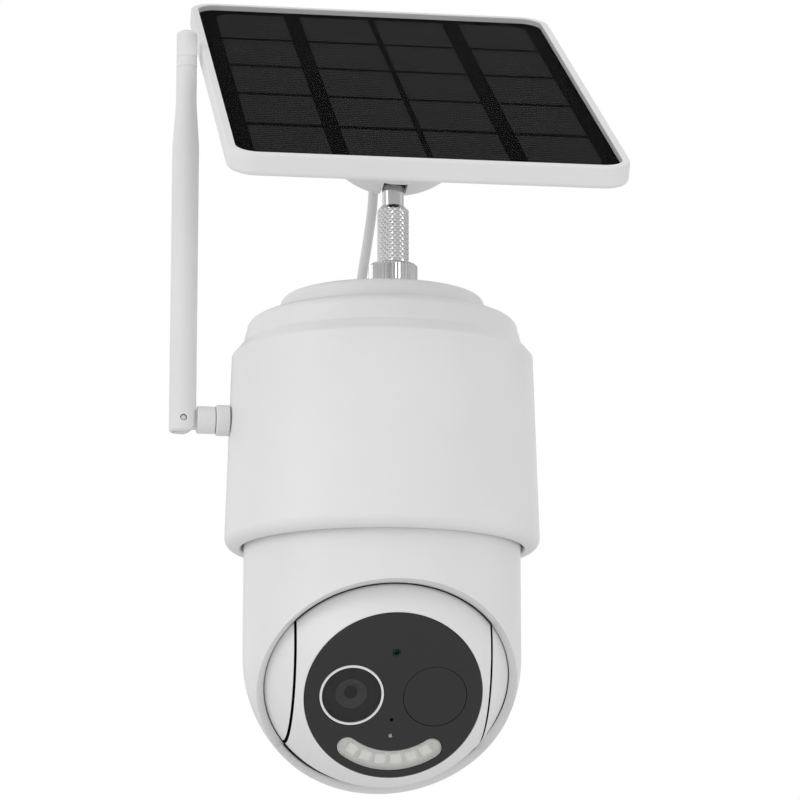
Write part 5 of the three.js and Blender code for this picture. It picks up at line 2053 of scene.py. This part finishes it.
class Cable(Assembly):
    """The lead, in two pieces that meet part way along its route."""

    sizes = CableSizes()

    def build(self) -> None:
        """Builds the upper and lower pieces."""
        s = self.sizes
        at = [self.places.post @ Vector(p) for p in s.route]
        upper = self.piece("panel_lead_upper", at, 0, s.split)
        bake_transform(upper)
        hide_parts("panel_cable")
        lower = self.piece("panel_lead_lower", at, s.split, len(at) - 1)
        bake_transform(lower)
        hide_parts("panel_cable")

    def piece(self, name: str, at: list[Vector], first: int, last: int) -> bpy.types.Object:
        """Sweeps a round jacket along part of the route.

        Args:
            name: The new object's name.
            at: The whole route in the row frame.
            first: Number of the first point.
            last: Number of the last point.

        Returns:
            The tube as a mesh.
        """
        curve = bpy.data.curves.new(name, "CURVE")
        curve.dimensions = "3D"
        curve.bevel_depth = self.sizes.radius * MM
        curve.bevel_resolution = 8
        curve.use_fill_caps = True
        points = [p for i in range(first, last) for p in self.stretch(at, i)] + [at[last]]
        spline = curve.splines.new("POLY")
        spline.points.add(len(points) - 1)
        for point, place in zip(spline.points, points):
            point.co = (*place, 1)
        obj = bpy.data.objects.new(name, curve)
        bpy.context.collection.objects.link(obj)
        activate(obj)
        bpy.ops.object.convert(target="MESH")
        obj = bpy.context.active_object
        edit(obj)
        close_edit(1e-6)
        smooth(obj, 50)
        self.dress(obj, "cable_jacket")
        LOG.info("piece %s swept through %d points", name, len(points))
        return obj

    @staticmethod
    def stretch(at: list[Vector], i: int, steps: int = 8) -> list[Vector]:
        """Gives Catmull-Rom points from one point of the route to the next.

        Args:
            at: The whole route.
            i: Number of the stretch's first point.
            steps: Points on it.

        Returns:
            The points, without the stretch's end.
        """
        a, b, c, d = (at[max(0, min(len(at) - 1, k))] for k in (i - 1, i, i + 1, i + 2))
        out = []
        for k in range(steps):
            t = k / steps
            straight = 2 * b + (c - a) * t
            out.append((straight + (2 * a - 5 * b + 4 * c - d) * t**2 + (3 * b - a - 3 * c + d) * t**3) / 2)
        return out


# ---------- CAD nodes that stay ----------
class InnerParts(Assembly):
    """The mechanism and electronics inside, shown as the CAD nodes themselves."""

    node_finishes = {
        "base_plate": "inner_plastic",
        "pan_cover": "inner_plastic",
        "pan_bush": "gear_plastic",
        "pan_gear": "gear_plastic",
        "tilt_gear": "gear_plastic",
        "pan_motor": "steel",
        "tilt_motor": "steel",
        "spindle_clip": "steel",
        "tilt_axle_left": "steel",
        "tilt_axle_right": "steel",
        "pan_pinion": "brass",
        "tilt_pinion": "brass",
        "threaded_insert": "brass",
        "antenna_nut": "brass",
        "battery_tray": "rubber",
        "speaker": "rubber",
        "main_board": "board_green",
        "service_board": "board_green",
        "face_board": "board_green",
        "image_sensor_board": "board_green",
        "status_light_pipe": "lamp_diffuser",
    }

    def build(self, nodes: dict[str, bpy.types.Object]) -> None:
        """Dresses every CAD node that is still shown.

        Args:
            nodes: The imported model's nodes.
        """
        for name, obj in nodes.items():
            if obj.hide_render:
                continue
            finish = "cell_wrap" if name.startswith("battery_cell") else self.node_finishes[name]
            self.dress(obj, finish)
            LOG.info("CAD node %s shown as %s", name, finish)


# ---------- studio ----------
@dataclass
class Studio:
    """A white studio: soft light from the upper left, a pale floor and the camera."""

    azimuth: float = -8.3
    elevation: float = -11.4
    distance: float = 1.6
    aim: tuple[float, float, float] = (0.0, -0.0932, 0.0229)
    aim_side: float = 0.0078
    lens: float = 163.9
    sensor: float = 36.0
    ambient: float = 0.80
    floor_z: float = -0.45

    def build(self) -> None:
        """Builds the world, the lights, the floor and the camera."""
        self.world()
        self.lights()
        self.floor()
        self.camera()

    def world(self) -> None:
        """Makes an even white surround, with dark bands that only glossy reflections see."""
        world = bpy.data.worlds.new("studio")
        bpy.context.scene.world = world
        world.use_nodes = True
        tree = world.node_tree
        soft = tree.nodes["Background"]
        soft.inputs["Color"].default_value = (1, 1, 1, 1)
        soft.inputs["Strength"].default_value = self.ambient
        seen = tree.nodes.new("ShaderNodeBackground")
        seen.inputs["Color"].default_value = (1, 1, 1, 1)
        seen.inputs["Strength"].default_value = 1.0
        bands = tree.nodes.new("ShaderNodeBackground")
        rays = tree.nodes.new("ShaderNodeLightPath")
        place = tree.nodes.new("ShaderNodeTexCoord")
        split = tree.nodes.new("ShaderNodeSeparateXYZ")
        link(tree, place, "Generated", split, 0)
        ramp = tree.nodes.new("ShaderNodeValToRGB")
        stops = (
            (0.0, 0.6),
            (0.16, 0.95),
            (0.36, 1.0),
            (0.43, 0.3),
            (0.5, 0.1),
            (0.57, 0.9),
            (0.8, 1.0),
            (0.9, 0.3),
            (1.0, 0.8),
        )
        ramp.color_ramp.elements.remove(ramp.color_ramp.elements[0])
        for i, (place_at, value) in enumerate(stops):
            element = ramp.color_ramp.elements[0] if i == 0 else ramp.color_ramp.elements.new(place_at)
            element.position = place_at
            element.color = (value, value, value, 1)
        half = tree.nodes.new("ShaderNodeMapRange")
        half.inputs["From Min"].default_value = -1.0
        link(tree, split, "X", half, "Value")
        link(tree, half, "Result", ramp, "Fac")
        link(tree, ramp, "Color", bands, "Color")
        polished = tree.nodes.new("ShaderNodeMixShader")
        link(tree, rays, "Is Glossy Ray", polished, 0)
        link(tree, soft, "Background", polished, 1)
        link(tree, bands, "Background", polished, 2)
        both = tree.nodes.new("ShaderNodeMixShader")
        link(tree, rays, "Is Camera Ray", both, 0)
        link(tree, polished, "Shader", both, 1)
        link(tree, seen, "Background", both, 2)
        link(tree, both, "Shader", tree.nodes["World Output"], "Surface")

    def lights(self) -> None:
        """Adds a large soft key light from the upper left and a weak fill from below."""
        self.area("key", (-2.2, -1.0, 0.9), 1.4, 11.0)
        self.area("fill", (0.6, -1.5, -0.38), 0.8, 4.0)

    def area(self, name: str, at: tuple[float, float, float], size: float, power: float) -> None:
        """Adds a square light aimed at the object.

        Args:
            name: Its name.
            at: Its place.
            size: Length of its side.
            power: Its power in watts.
        """
        data = bpy.data.lights.new(name, "AREA")
        data.size = size
        data.energy = power
        light = bpy.data.objects.new(name, data)
        bpy.context.scene.collection.objects.link(light)
        light.location = at
        light.rotation_euler = (Vector(self.aim) - Vector(at)).to_track_quat("-Z", "Y").to_euler()

    def floor(self) -> None:
        """Lays a plain pale floor well below the object."""
        bpy.ops.object.select_all(action="DESELECT")
        bpy.ops.mesh.primitive_plane_add(size=12, location=(0, 0, self.floor_z))
        obj = bpy.context.active_object
        obj.name = "studio_floor"
        paint = Finish("floor_paint", (0.8, 0.8, 0.8), 0.8, grain=200, relief=0.05)
        obj.data.materials.append(paint.build())

    def camera(self) -> None:
        """Places the camera and makes it the scene's own."""
        a, e = math.radians(self.azimuth), math.radians(self.elevation)
        back = Vector((math.sin(a) * math.cos(e), -math.cos(a) * math.cos(e), math.sin(e)))
        side = Vector((math.cos(a), math.sin(a), 0))
        data = bpy.data.cameras.new("camera")
        data.lens = self.lens
        data.sensor_width = self.sensor
        camera = bpy.data.objects.new("camera", data)
        bpy.context.scene.collection.objects.link(camera)
        camera.location = Vector(self.aim) + side * self.aim_side + back * self.distance
        camera.rotation_euler = (-back).to_track_quat("-Z", "Y").to_euler()
        bpy.context.scene.camera = camera


def main() -> None:
    """Builds the whole scene in order."""
    logging.basicConfig(level=logging.INFO, format="%(message)s")
    for obj in list(bpy.data.objects):
        bpy.data.objects.remove(obj)
    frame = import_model()
    bpy.context.tool_settings.mesh_select_mode = (True, False, False)
    bpy.context.scene.view_settings.view_transform = "Standard"
    Studio().build()
    places = Places.read(HeadSizes().face_pitch, PanelSizes().shift_x)
    library = Library()
    for part in (Cable, UpperHousing, PanHousing, Head, Antenna, Post, SolarPanel):
        part(places, library).build()
        LOG.info("built %s", part.__name__)
    InnerParts(places, library).build(frame["nodes"])


if __name__ == "__main__":
    main()
